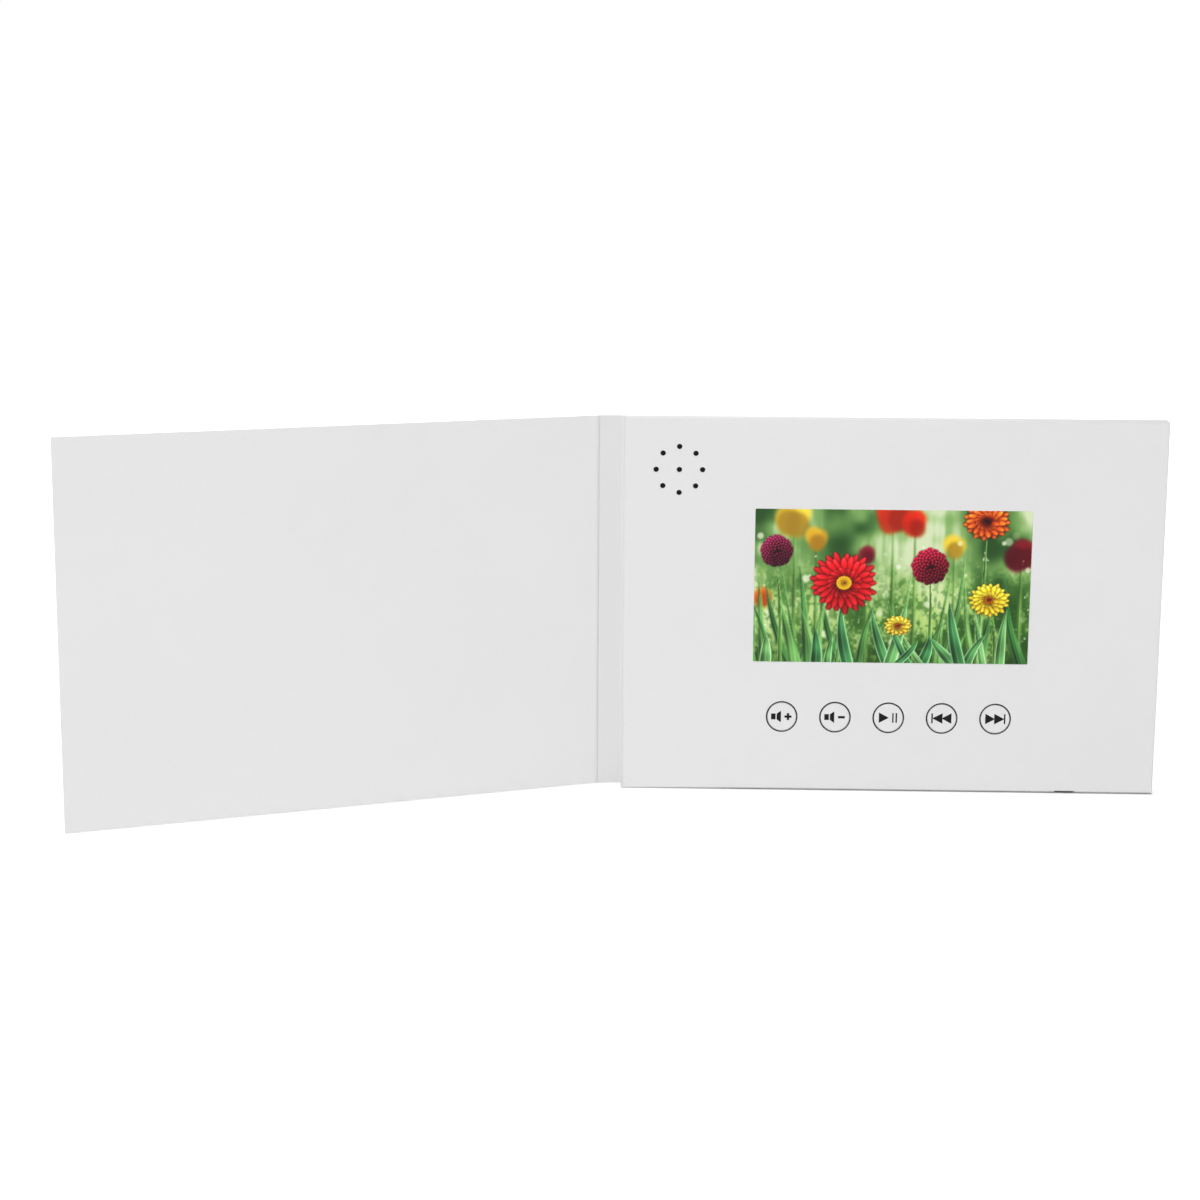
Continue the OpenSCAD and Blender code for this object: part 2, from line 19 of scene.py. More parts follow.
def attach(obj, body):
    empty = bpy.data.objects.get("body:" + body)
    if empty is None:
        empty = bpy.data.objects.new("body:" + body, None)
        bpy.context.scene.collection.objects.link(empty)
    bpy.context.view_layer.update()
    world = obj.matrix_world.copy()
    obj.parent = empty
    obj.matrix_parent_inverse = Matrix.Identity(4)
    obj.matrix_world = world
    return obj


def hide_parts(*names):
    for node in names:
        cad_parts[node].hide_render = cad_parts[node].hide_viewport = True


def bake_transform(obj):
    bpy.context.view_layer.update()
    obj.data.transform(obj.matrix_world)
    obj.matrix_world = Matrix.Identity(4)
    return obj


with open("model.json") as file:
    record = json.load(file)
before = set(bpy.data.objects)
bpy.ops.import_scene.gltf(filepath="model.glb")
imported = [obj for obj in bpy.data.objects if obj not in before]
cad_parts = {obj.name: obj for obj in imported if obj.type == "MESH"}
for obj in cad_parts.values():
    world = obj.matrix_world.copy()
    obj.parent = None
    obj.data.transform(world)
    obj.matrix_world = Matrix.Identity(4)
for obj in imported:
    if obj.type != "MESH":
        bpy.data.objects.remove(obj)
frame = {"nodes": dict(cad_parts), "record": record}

MM = 0.001
QUARTER = math.pi / 2
# An edge that turns further than this stays sharp.
SHARP_TURN = math.radians(40.0)
# Segments of an eased edge's quarter circle, and the most of a sheet's thickness that its two eases take.
EASE_STEPS = 3
EASE_SHARE = 0.95
# Least square of the sum of two side normals, so that a sharp corner's mitre stays short.
MITRE_FLOOR = 0.2
# Where a flat face begins beside an eased edge, in radii: on a plate, and at the ends of a leaf.
PLATE_REST = 1.3
LEAF_REST = 3.0
# Segments of a leaf along its length, and the levels of its rings between its eased ends.
LEAF_STEPS = 23
LEAF_LEVELS = (0.25, 0.5, 0.75)
# The triangulation keeps all that lies inside the outer outline, and merges points nearer than this.
FILL_MODE = 1
FILL_MERGE = 1e-7
LOG = logging.getLogger("brochure")

Pair = tuple[float, float]
Triple = tuple[float, float, float]
Colour = Triple
Sides = tuple[float, float, float, float]
Rows = np.ndarray
Value = Union[bpy.types.NodeSocket, float, tuple]


class Body(Enum):
    """Moving bodies of the brochure."""

    BLOCK = "block"
    SPINE = "spine"
    COVER = "front_cover"


class Mark(Enum):
    """Printed marks of the five keys, from left to right."""

    VOLUME_UP = "volume_up"
    VOLUME_DOWN = "volume_down"
    PLAY_PAUSE = "play_pause"
    PREVIOUS = "previous"
    NEXT = "next"


@dataclass(frozen=True)
class Placement:
    """Upright plane that a flat piece is drawn on.

    u runs along the plane, d through its thickness and v up. At angle 0, u is +X and d is +Y.
    """

    x: float
    y: float
    angle: float = 0.0

    def ground(self, u: Rows | float, d: Rows | float) -> Rows:
        """Turns distances u along the plane and d through it into X and Y, in the last axis."""
        c, s = math.cos(self.angle), math.sin(self.angle)
        return np.stack([self.x + u * c - d * s, self.y + u * s + d * c], axis=-1)

    def put(self, points: Rows) -> Rows:
        """Turns rows of u, d, v into rows of X, Y, Z."""
        return np.concatenate([self.ground(points[..., 0], points[..., 1]), points[..., 2:]], axis=-1)


@dataclass(frozen=True)
class Sizes:
    """Sizes of the block and of the folded cover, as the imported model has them."""

    block_w: float = 210.0
    block_h: float = 148.0
    panel_t: float = 0.8
    core_t: float = 5.8
    board_t: float = 1.4
    band_t: float = 0.3
    sheet_t: float = 0.4
    liner_t: float = 0.2
    card_t: float = 0.4
    closing_gap: float = 0.2
    half_crease: float = 0.6
    spine_angle: float = math.radians(7.0)
    cover_angle: float = math.radians(22.4)

    @property
    def block_t(self) -> float:
        """Thickness of the block with the back cover."""
        return self.panel_t + self.core_t + self.board_t + self.sheet_t

    @property
    def spine_t(self) -> float:
        """Thickness of the spine."""
        return self.sheet_t + self.liner_t

    @property
    def cover_t(self) -> float:
        """Thickness of the front cover."""
        return self.sheet_t + self.card_t + self.liner_t

    @property
    def left_x(self) -> float:
        """X of the block's left side."""
        return -self.block_w / 2

    @property
    def pivot_x(self) -> float:
        """X of the crease line beside the block."""
        return self.left_x - self.closing_gap - self.spine_t

    @property
    def spine_w(self) -> float:
        """Width of the spine between its two crease lines."""
        return self.block_t + self.closing_gap + self.cover_t

    @property
    def cover_w(self) -> float:
        """Width of the front cover from its crease line."""
        return self.block_w / 2 - self.pivot_x

    @property
    def block_plane(self) -> Placement:
        """The block's own coordinates."""
        return Placement(self.left_x, self.panel_t - self.block_t / 2)

    @property
    def spine_plane(self) -> Placement:
        """Outer face of the spine: u runs away from the block and d towards the reader."""
        return Placement(self.pivot_x, self.block_t / 2, self.spine_angle + math.pi)

    @property
    def cover_plane(self) -> Placement:
        """Outer face of the front cover: u runs away from the spine and d towards the reader."""
        x, y = self.spine_plane.ground(self.spine_w, 0.0).tolist()
        return Placement(x, y, self.cover_angle + math.pi)


SIZES = Sizes()


class Graph:
    """Short ways to lay nodes in one node tree."""

    def __init__(self, tree: bpy.types.NodeTree) -> None:
        """Keeps the tree that the nodes go into."""
        self.tree = tree

    @classmethod
    def empty(cls, owner: bpy.types.Material | bpy.types.World) -> "Graph":
        """Graph on an emptied node tree.

        Args:
            owner: the material or the world that has the tree.

        Returns:
            The graph.
        """
        owner.use_nodes = True
        owner.node_tree.nodes.clear()
        return cls(owner.node_tree)

    def add(self, kind: str, inputs: dict | None = None, **settings: object) -> bpy.types.Node:
        """Adds one node.

        Args:
            kind: Blender's name of the node type.
            inputs: socket name or number to a socket or a constant.
            settings: the node's own properties.

        Returns:
            The node.
        """
        node = self.tree.nodes.new(kind)
        for name, value in settings.items():
            setattr(node, name, value)
        for key, value in (inputs or {}).items():
            if isinstance(value, bpy.types.NodeSocket):
                self.tree.links.new(value, node.inputs[key])
            else:
                node.inputs[key].default_value = value
        return node

    def math(self, operation: str, a: Value, b: Value = 0.0, c: Value = 0.0) -> Value:
        """Math node's result."""
        return self.add("ShaderNodeMath", {0: a, 1: b, 2: c}, operation=operation).outputs[0]

    def wave(self, where: Value, axis: str, length: float) -> Value:
        """Sine of one coordinate, once round for each length."""
        part = self.axis(where, axis)
        return self.math("SINE", self.math("MULTIPLY", part, math.tau / length))

    def axis(self, vector: Value, name: str) -> Value:
        """One of X, Y and Z of a vector."""
        return self.add("ShaderNodeSeparateXYZ", {0: vector}).outputs[name]

    def mix(self, factor: Value, a: Value, b: Value) -> Value:
        """Mixes two colours: factor 0 gives the first and 1 the second."""
        return self.add("ShaderNodeMix", {0: factor, 6: a, 7: b}, data_type="RGBA").outputs[2]

    def noise(self, where: Value, scale: Value, detail: float, roughness: float) -> Value:
        """Noise from 0 to 1; scale is in features per metre."""
        return self.add("ShaderNodeTexNoise", {"Vector": where, "Scale": scale, "Detail": detail,
                                               "Roughness": roughness}).outputs["Fac"]

    def cells(self, where: Value, scale: Value, **settings: object) -> Value:
        """Distance in Voronoi cells; scale is in cells per metre."""
        cells = self.add("ShaderNodeTexVoronoi", {"Vector": where, "Scale": scale}, **settings)
        return cells.outputs["Distance"]

    def spread(self, value: Value, low: float, high: float, new_low: Value = 0.0,
               new_high: Value = 1.0) -> Value:
        """Maps low and high to two new values and holds beyond them."""
        return self.add("ShaderNodeMapRange", {0: value, 1: low, 2: high, 3: new_low, 4: new_high}).outputs[0]

    def stretched(self, where: Value, scale: Triple, turn: Triple = (0.0, 0.0, 0.0)) -> Value:
        """Coordinates turned and then scaled."""
        return self.add("ShaderNodeMapping", {"Vector": where, "Rotation": turn, "Scale": scale}).outputs[0]


class Effect(Enum):
    """Shared effects. Each is one node group with Height and Tone outputs."""

    FIBRE = "paper_fibre"
    MOTTLE = "slow_mottle"
    GRAIN = "moulded_grain"
    BRUSH = "brushed_lines"
    WEAVE = "plain_weave"

    def group(self) -> bpy.types.NodeTree:
        """Finds or builds the node group.

        Returns:
            The group, with inputs Vector and Scale and outputs Height and Tone, both 0 to 1.
        """
        tree = bpy.data.node_groups.get(self.value)
        if tree is None:
            tree = bpy.data.node_groups.new(self.value, "ShaderNodeTree")
            for name, side, kind in (("Vector", "INPUT", "Vector"), ("Scale", "INPUT", "Float"),
                                     ("Height", "OUTPUT", "Float"), ("Tone", "OUTPUT", "Float")):
                tree.interface.new_socket(name, in_out=side, socket_type="NodeSocket" + kind)
            graph = Graph(tree)
            entry = graph.add("NodeGroupInput").outputs
            height, tone = getattr(self, self.name.lower())(graph, entry["Vector"], entry["Scale"])
            graph.add("NodeGroupOutput", {"Height": height, "Tone": tone})
        return tree

    def place(self, graph: Graph, where: Value, scale: float) -> tuple[Value, Value]:
        """Puts the effect into a material.

        Args:
            graph: the material's graph.
            where: coordinates.
            scale: features per metre.

        Returns:
            Sockets of its height and its tone.
        """
        node = graph.add("ShaderNodeGroup", {"Vector": where, "Scale": scale}, node_tree=self.group())
        return node.outputs["Height"], node.outputs["Tone"]

    @staticmethod
    def fibre(graph: Graph, where: Value, scale: Value) -> tuple[Value, Value]:
        """Felted fibres: two noises, each drawn out along another direction, and the larger of them.

        Args:
            graph: the group's graph.
            where: coordinates.
            scale: features per metre.

        Returns:
            Its height and its tone.
        """
        first = graph.noise(graph.stretched(where, (1.0, 1.0, 0.16)), scale, 2.0, 0.6)
        second = graph.noise(graph.stretched(where, (0.2, 1.0, 1.0), (0.0, 1.1, 0.4)), scale, 2.0, 0.6)
        tone = graph.spread(graph.math("ADD", first, second), 0.7, 1.3)
        return graph.math("MAXIMUM", first, second), tone

    @staticmethod
    def mottle(graph: Graph, where: Value, scale: Value) -> tuple[Value, Value]:
        """Slow cloudy change: soft noise, and a finer one laid over it.

        Args:
            graph: the group's graph.
            where: coordinates.
            scale: features per metre.

        Returns:
            Its height and its tone.
        """
        slow = graph.noise(where, scale, 2.0, 0.45)
        fine = graph.noise(where, graph.math("MULTIPLY", scale, 6.0), 2.0, 0.55)
        return slow, graph.spread(graph.math("MULTIPLY_ADD", fine, 0.35, slow), 0.5, 0.85)

    @staticmethod
    def grain(graph: Graph, where: Value, scale: Value) -> tuple[Value, Value]:
        """Fine moulded grain: rounded cells roughened by noise."""
        fine = graph.noise(where, scale, 5.0, 0.6)
        return graph.math("MULTIPLY_ADD", fine, 0.5, graph.cells(where, scale, feature="SMOOTH_F1")), fine

    @staticmethod
    def brush(graph: Graph, where: Value, scale: Value) -> tuple[Value, Value]:
        """Brushed or rolled lines: noise drawn out to forty times its length."""
        lines = graph.noise(graph.stretched(where, (0.025, 1.0, 1.0)), scale, 6.0, 0.7)
        return lines, graph.spread(lines, 0.3, 0.7)

    @staticmethod
    def weave(graph: Graph, where: Value, scale: Value) -> tuple[Value, Value]:
        """Plain weave: warp is sin(x) where sin(x) sin(z) is positive, weft is sin(z) elsewhere.

        Args:
            graph: the group's graph.
            where: coordinates.
            scale: features per metre.

        Returns:
            Its height and its tone.
        """
        scaled = graph.add("ShaderNodeVectorMath", {0: where, "Scale": scale}, operation="SCALE").outputs[0]
        warp = graph.wave(scaled, "X", 1.0)
        weft = graph.wave(scaled, "Z", 1.0)
        over = graph.math("GREATER_THAN", graph.math("MULTIPLY", warp, weft), 0.0)
        under = graph.math("SUBTRACT", 1.0, over)
        crowns = [graph.math("MULTIPLY", graph.math("ABSOLUTE", yarn), shown)
                  for yarn, shown in ((warp, over), (weft, under))]
        height = graph.math("ADD", *crowns)
        return height, graph.spread(height, 0.1, 0.9)


FIBRE, MOTTLE, GRAIN, BRUSH, WEAVE = Effect


@dataclass(frozen=True)
class Finish:
    """Surface of one material: two colours that a tone mixes, a roughness range and a relief.

    detail is the effect that gives the relief, and clouds is how far slow mottling moves the colour.
    """

    name: str
    colour: Colour
    second: Colour
    roughness: Pair
    detail: Effect
    scale: float
    relief: float
    clouds: float = 0.3
    cloud_scale: float = 25.0
    metallic: float = 0.0
    specular: float = 0.5
    coat: float = 0.0
    coat_roughness: float = 0.1

    def base(self, graph: Graph, where: Value, tone: Value) -> Value:
        """Colour over the surface: the two colours, mixed by the detail's tone and the clouds.

        Args:
            graph: the material's graph.
            where: coordinates.
            tone: the detail's tone.

        Returns:
            The colour.
        """
        clouds = MOTTLE.place(graph, where, self.cloud_scale)[1]
        rest = graph.math("MULTIPLY", tone, 1.0 - self.clouds)
        share = graph.math("MULTIPLY_ADD", clouds, self.clouds, rest)
        return graph.mix(share, (*self.colour, 1.0), (*self.second, 1.0))

    def relief_height(self, graph: Graph, where: Value, height: Value) -> Value:
        """Height of the relief; a finish with its own pattern adds it here."""
        return height

    def extra(self, graph: Graph, surface: bpy.types.Node, where: Value) -> None:
        """Place for what one kind of finish adds to its shader."""

    def material(self) -> bpy.types.Material:
        """Finds or builds the Blender material.

        Returns:
            The material, built once for each name.
        """
        found = bpy.data.materials.get(self.name)
        if found is not None:
            return found
        made = bpy.data.materials.new(self.name)
        graph = Graph.empty(made)
        where = graph.add("ShaderNodeTexCoord").outputs["Object"]
        height, tone = self.detail.place(graph, where, self.scale)
        relief = graph.add("ShaderNodeBump", {"Height": self.relief_height(graph, where, height),
                                              "Strength": 1.0, "Distance": self.relief * MM})
        surface = graph.add("ShaderNodeBsdfPrincipled", {
            "Base Color": self.base(graph, where, tone), "Normal": relief.outputs["Normal"],
            "Roughness": graph.spread(tone, 0.0, 1.0, *self.roughness), "Metallic": self.metallic,
            "Specular IOR Level": self.specular, "Coat Weight": self.coat,
            "Coat Roughness": self.coat_roughness})
        self.extra(graph, surface, where)
        graph.add("ShaderNodeOutputMaterial", {"Surface": surface.outputs["BSDF"]})
        made.diffuse_color = (*self.colour, 1.0)
        return made


@dataclass(frozen=True)
class Pulp(Finish):
    """Recycled board: darker and lighter flecks of pulp on the base colour."""

    flecks: Colour = (0.3, 0.28, 0.25)
    fleck_scale: float = 900.0

    def base(self, graph: Graph, where: Value, tone: Value) -> Value:
        """Mixed colour with flecks where small cells have a small distance."""
        fleck = graph.spread(graph.cells(where, self.fleck_scale), 0.05, 0.25, 0.6, 0.0)
        return graph.mix(fleck, super().base(graph, where, tone), (*self.flecks, 1.0))


@dataclass(frozen=True)
class Circuit(Finish):
    """Circuit board: tracks under the green lacquer, from the edges of square cells, and small pads."""

    track: Colour = (0.05, 0.3, 0.14)
    track_scale: float = 420.0
    pad: Colour = (0.7, 0.68, 0.62)
    pad_scale: float = 650.0

    def base(self, graph: Graph, where: Value, tone: Value) -> Value:
        """Lacquer, lighter over the tracks, with bare pads.

        Args:
            graph: the material's graph.
            where: coordinates.
            tone: the detail's tone.

        Returns:
            The colour.
        """
        edge = graph.cells(where, self.track_scale, feature="DISTANCE_TO_EDGE")
        dots = graph.cells(where, self.pad_scale, distance="CHEBYCHEV", feature="F1")
        lacquer = graph.mix(graph.spread(edge, 0.05, 0.09, 1.0, 0.0), super().base(graph, where, tone),
                            (*self.track, 1.0))
        return graph.mix(graph.spread(dots, 0.1, 0.12, 1.0, 0.0), lacquer, (*self.pad, 1.0))


@dataclass(frozen=True)
class Stripe(Finish):
    """Surface with a stripe or rings: a sine of the distance along one axis, which also ridges it."""

    axis: str = "X"
    pitch: float = 0.0013
    stripe: Colour = (0.02, 0.02, 0.02)

    def base(self, graph: Graph, where: Value, tone: Value) -> Value:
        """Mixed colour with the stripe where the sine is high."""
        share = graph.spread(graph.wave(where, self.axis, self.pitch), 0.3, 0.7)
        return graph.mix(share, super().base(graph, where, tone), (*self.stripe, 1.0))

    def relief_height(self, graph: Graph, where: Value, height: Value) -> Value:
        """Detail with the stripe's ridges added."""
        return graph.math("MULTIPLY_ADD", graph.wave(where, self.axis, self.pitch), 0.5, height)


@dataclass(frozen=True)
class Clear(Finish):
    """Clear glass with a faint tint."""

    see_through: float = 1.0

    def extra(self, graph: Graph, surface: bpy.types.Node, where: Value) -> None:
        """Lets light through."""
        surface.inputs["Transmission Weight"].default_value = self.see_through
        surface.inputs["IOR"].default_value = 1.5


@dataclass(frozen=True)
class Lit(Finish):
    """Lit screen: the picture comes from the colour attribute of its own mesh.

    Fine rows and columns of picture elements darken it a little between them.
    """

    attribute: str = "picture"
    element: float = 0.00023
    gap_depth: float = 0.06

    def extra(self, graph: Graph, surface: bpy.types.Node, where: Value) -> None:
        """Adds the picture as emitted light.

        Args:
            graph: the material's graph.
            surface: its shader.
            where: coordinates.
        """
        picture = graph.add("ShaderNodeAttribute", attribute_name=self.attribute).outputs["Color"]
        lattice = graph.math("MAXIMUM", *(graph.wave(where, axis, self.element) for axis in "XZ"))
        dim = graph.spread(lattice, 0.7, 1.0, 0.0, self.gap_depth)
        shown = graph.mix(dim, picture, (0.0, 0.0, 0.0, 1.0))
        graph.tree.links.new(shown, surface.inputs["Emission Color"])
        surface.inputs["Emission Strength"].default_value = 1.0


WHITE_CARD = Finish("white_card", (0.83, 0.83, 0.83), (0.80, 0.80, 0.80), (0.5, 0.58), FIBRE, 2600.0, 0.012,
                    clouds=0.5, cloud_scale=18.0, specular=0.35)
# Painted light: a lighter copy of the white card for the front cover's liner, which brightens the cover.
LINER_CARD_PAINTED_LIGHT = Finish("liner_card_painted_light", (0.86, 0.86, 0.86), (0.83, 0.83, 0.83), (0.52, 0.62), FIBRE, 2400.0, 0.014,
                    clouds=0.5, cloud_scale=15.0, specular=0.35)
# Painted shade: a darker copy of the white card for the spine's liner, which lies in shade beside the block.
SPINE_CARD_PAINTED_SHADE = Finish("spine_card_painted_shade", (0.80, 0.80, 0.80), (0.77, 0.77, 0.77), (0.52, 0.62), FIBRE, 2400.0, 0.014,
                    clouds=0.5, cloud_scale=15.0, specular=0.35)
# Painted shade: a darker copy of the white card for the edge band, which tones down the block's lit top face.
BAND_CARD_PAINTED_SHADE = Finish("band_card_painted_shade", (0.80, 0.80, 0.80), (0.77, 0.77, 0.77), (0.55, 0.65), FIBRE, 2600.0, 0.012,
                   clouds=0.5, cloud_scale=18.0, specular=0.12)
WHITE_CORE = Pulp("white_core_card", (0.74, 0.74, 0.73), (0.66, 0.66, 0.64), (0.8, 0.95), FIBRE, 3000.0, 0.03,
                  flecks=(0.55, 0.54, 0.52), specular=0.3)
BLACK_INK = Finish("black_ink", (0.004, 0.004, 0.0045), (0.009, 0.009, 0.0095), (0.45, 0.6), FIBRE, 2600.0,
                   0.004, specular=0.12)
SCREEN = Lit("lit_screen", (0.004, 0.004, 0.005), (0.006, 0.006, 0.007), (0.3, 0.4), GRAIN, 9000.0, 0.001,
             specular=0.08)
# Painted shade: steel darkened for the charging socket's shell, to stand for the shade in its mouth.
STEEL_PAINTED_SHADE = Finish("steel_painted_shade", (0.07, 0.07, 0.075), (0.05, 0.05, 0.055), (0.4, 0.55), BRUSH, 3000.0,
                    0.006, metallic=0.8, specular=0.3)
SLOT_FINISHES: dict[str, Finish] = {
    "white_paper": WHITE_CARD,
    "grey_board": Pulp("pulp_board", (0.58, 0.56, 0.52), (0.5, 0.48, 0.44), (0.8, 0.95), FIBRE, 2200.0, 0.04,
                       specular=0.3),
    "foam_board": Finish("foam_core", (0.22, 0.22, 0.23), (0.28, 0.28, 0.29), (0.85, 0.95), GRAIN, 1800.0,
                         0.15, specular=0.2),
    "black_tape": Finish("black_foam_tape", (0.035, 0.035, 0.036), (0.05, 0.05, 0.05), (0.7, 0.85), GRAIN,
                         3500.0, 0.03, specular=0.3),
    "screen_film": Finish("polariser_film", (0.006, 0.006, 0.007), (0.009, 0.009, 0.01), (0.22, 0.3), GRAIN,
                          9000.0, 0.001, specular=0.4),
    "screen_glass": Clear("display_glass", (0.75, 0.82, 0.78), (0.7, 0.8, 0.75), (0.03, 0.08), MOTTLE, 60.0,
                          0.001),
    "light_guide": Finish("light_guide_sheet", (0.85, 0.87, 0.9), (0.8, 0.83, 0.88), (0.2, 0.35), GRAIN,
                          2500.0, 0.01),
    "steel": Finish("rolled_steel", (0.62, 0.63, 0.64), (0.52, 0.53, 0.55), (0.25, 0.42), BRUSH, 3000.0,
                    0.006, metallic=1.0),
    "amber_film": Stripe("amber_ribbon", (0.6, 0.28, 0.05), (0.5, 0.22, 0.04), (0.25, 0.4), MOTTLE, 300.0,
                         0.01, pitch=0.0005, stripe=(0.35, 0.13, 0.02), coat=0.4),
    "circuit_green": Circuit("green_lacquer_board", (0.018, 0.13, 0.05), (0.022, 0.16, 0.06), (0.3, 0.45),
                             WEAVE, 1400.0, 0.006, coat=0.5, coat_roughness=0.25),
    "chip_black": Finish("moulded_epoxy", (0.022, 0.022, 0.024), (0.035, 0.035, 0.037), (0.45, 0.65), GRAIN,
                         5000.0, 0.02),
    "chip_ceramic": Finish("fired_ceramic", (0.5, 0.38, 0.24), (0.42, 0.31, 0.19), (0.4, 0.6), GRAIN, 6000.0,
                           0.008),
    "ivory_plastic": Finish("ivory_moulding", (0.8, 0.76, 0.64), (0.74, 0.7, 0.58), (0.35, 0.5), GRAIN,
                            4000.0, 0.01),
    "reed_glass": Clear("tinted_tube_glass", (0.5, 0.72, 0.55), (0.45, 0.68, 0.5), (0.02, 0.06), MOTTLE,
                        200.0, 0.002, see_through=0.8),
    "yellow_tape": Finish("yellow_tape", (0.75, 0.55, 0.07), (0.66, 0.48, 0.06), (0.45, 0.6), FIBRE, 1500.0,
                          0.02),
    "battery_foil": Finish("pouch_foil", (0.66, 0.67, 0.69), (0.58, 0.59, 0.61), (0.25, 0.45), MOTTLE, 160.0,
                           0.15, metallic=0.9),
    "red_black_lead": Stripe("striped_lead", (0.42, 0.02, 0.02), (0.36, 0.02, 0.02), (0.35, 0.5), GRAIN,
                             4000.0, 0.01, axis="Y", pitch=0.0009),
    "black_lead": Finish("black_lead_sleeve", (0.02, 0.02, 0.02), (0.03, 0.03, 0.03), (0.35, 0.5), GRAIN,
                         4000.0, 0.01),
    "black_cloth": Finish("black_scrim", (0.008, 0.008, 0.008), (0.02, 0.02, 0.02), (0.8, 0.95), WEAVE,
                          3300.0, 0.04, specular=0.15),
    "speaker_plastic": Finish("speaker_basket", (0.03, 0.03, 0.032), (0.045, 0.045, 0.047), (0.45, 0.6),
                              GRAIN, 3500.0, 0.02),
    "cone_film": Finish("cone_film", (0.09, 0.09, 0.1), (0.13, 0.13, 0.14), (0.25, 0.4), MOTTLE, 300.0, 0.03,
                        coat=0.2),
    "coil_wire": Stripe("wound_copper", (0.7, 0.33, 0.12), (0.6, 0.27, 0.09), (0.25, 0.4), BRUSH, 4000.0,
                        0.02, axis="Y", pitch=0.00015, stripe=(0.3, 0.12, 0.03), metallic=1.0),
    "stem_plastic": Finish("stem_moulding", (0.03, 0.03, 0.03), (0.045, 0.045, 0.045), (0.4, 0.55), GRAIN,
                           4500.0, 0.01),
}


def finish_piece(piece: bpy.types.Object, finish: Finish) -> None:
    """Gives a piece one finish in every slot.

    Args:
        piece: the object.
        finish: its surface.
    """
    if not piece.data.materials:
        piece.data.materials.append(None)
    for slot in piece.material_slots:
        slot.material = finish.material()


def settle(piece: bpy.types.Object, finish: Finish, body: Body | str | None, slot: str = "",
           *nodes: str) -> None:
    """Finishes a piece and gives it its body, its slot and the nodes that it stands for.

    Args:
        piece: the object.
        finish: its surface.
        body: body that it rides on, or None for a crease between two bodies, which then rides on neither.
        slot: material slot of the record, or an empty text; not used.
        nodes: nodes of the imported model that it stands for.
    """
    finish_piece(piece, finish)
    if body is not None:
        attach(piece, body.value if isinstance(body, Body) else body)
    if nodes:
        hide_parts(*nodes)
    LOG.info("%s: %d faces, for %s", piece.name, len(piece.data.polygons), ", ".join(nodes) or "itself")


def build_piece(name: str, points: Rows, faces: Sequence[Rows]) -> bpy.types.Object:
    """Makes a smooth closed mesh object from arrays.

    Args:
        name: name of the piece.
        points: rows of X, Y, Z in millimetres.
        faces: arrays of vertex numbers, each of three or four columns.

    Returns:
        The object, with its faces pointing outwards.
    """
    mesh = bpy.data.meshes.new(name)
    corners = np.concatenate([f.ravel() for f in faces]).astype(np.int32)
    counts = np.concatenate([np.full(len(f), f.shape[1]) for f in faces])
    mesh.vertices.add(len(points))
    mesh.vertices.foreach_set("co", (points * MM).astype(np.float32).ravel())
    mesh.loops.add(len(corners))
    mesh.loops.foreach_set("vertex_index", corners)
    mesh.polygons.add(len(counts))
    mesh.polygons.foreach_set("loop_start", (np.cumsum(counts) - counts).astype(np.int32))
    mesh.polygons.foreach_set("use_smooth", np.ones(len(counts), bool))
    mesh.update(calc_edges=True)
    shell = bmesh.new()
    shell.from_mesh(mesh)
    bmesh.ops.recalc_face_normals(shell, faces=shell.faces)
    shell.to_mesh(mesh)
    shell.free()
    mesh.set_sharp_from_angle(angle=SHARP_TURN)
    piece = bpy.data.objects.new(name, mesh)
    bpy.context.scene.collection.objects.link(piece)
    return piece


def smooth(value: Rows, low: float, high: float) -> Rows:
    """Smooth step from 0 at low to 1 at high."""
    t = np.clip((value - low) / (high - low), 0.0, 1.0)
    return t * t * (3 - 2 * t)


def grid_faces(rows: int, columns: int, closed: bool = True, first: int = 0) -> Rows:
    """Quads of a grid of vertices numbered row by row.

    Args:
        rows: number of rows.
        columns: number of columns.
        closed: joins the last column to the first.
        first: number of the first vertex.

    Returns:
        Array of four vertex numbers for each quad.
    """
    last = columns if closed else columns - 1
    row, column = np.meshgrid(np.arange(rows - 1), np.arange(last), indexing="ij")
    here = row * columns + column
    right = row * columns + (column + 1) % columns
    quads = np.stack([here, right, right + columns, here + columns], axis=-1)
    return quads.reshape(-1, 4) + first


def eased(thickness: float, near: float, far: float, steps: int) -> tuple[Rows, Rows]:
    """Edge of a sheet, from its near face over the edge to its far face.

    Each corner is a quarter circle: inset = r (1 - sin a), depth = r (1 - cos a), for a from 0 to 90.

    Args:
        thickness: of the sheet.
        near: radius at the near face.
        far: radius at the far face.
        steps: segments of each quarter circle.

    Returns:
        Insets from the outline and depths from the near face. The first and last rings lie a little
        further in, so that the flat faces shade flat.
    """
    a = np.linspace(0.0, QUARTER, steps + 1)
    rise, run = 1 - np.cos(a), 1 - np.sin(a)
    inset = np.concatenate([[PLATE_REST * near], near * run, far * rise, [PLATE_REST * far]])
    depth = np.concatenate([[0.0], near * rise, thickness - far * run, [thickness]])
    return inset, depth


def inward(loop: Rows) -> Rows:
    """Mitred normals to the left of a closed outline, one for each point.

    Each is the mean of its two sides' unit normals, lengthened by 1 / cos of half the turn.

    Args:
        loop: points of the outline.

    Returns:
        The normals.
    """
    ahead = np.roll(loop, -1, axis=0) - loop
    ahead /= np.linalg.norm(ahead, axis=1, keepdims=True)
    normal = np.stack([-ahead[:, 1], ahead[:, 0]], axis=1)
    both = normal + np.roll(normal, 1, axis=0)
    return 2 * both / np.maximum((both**2).sum(axis=1, keepdims=True), MITRE_FLOOR)


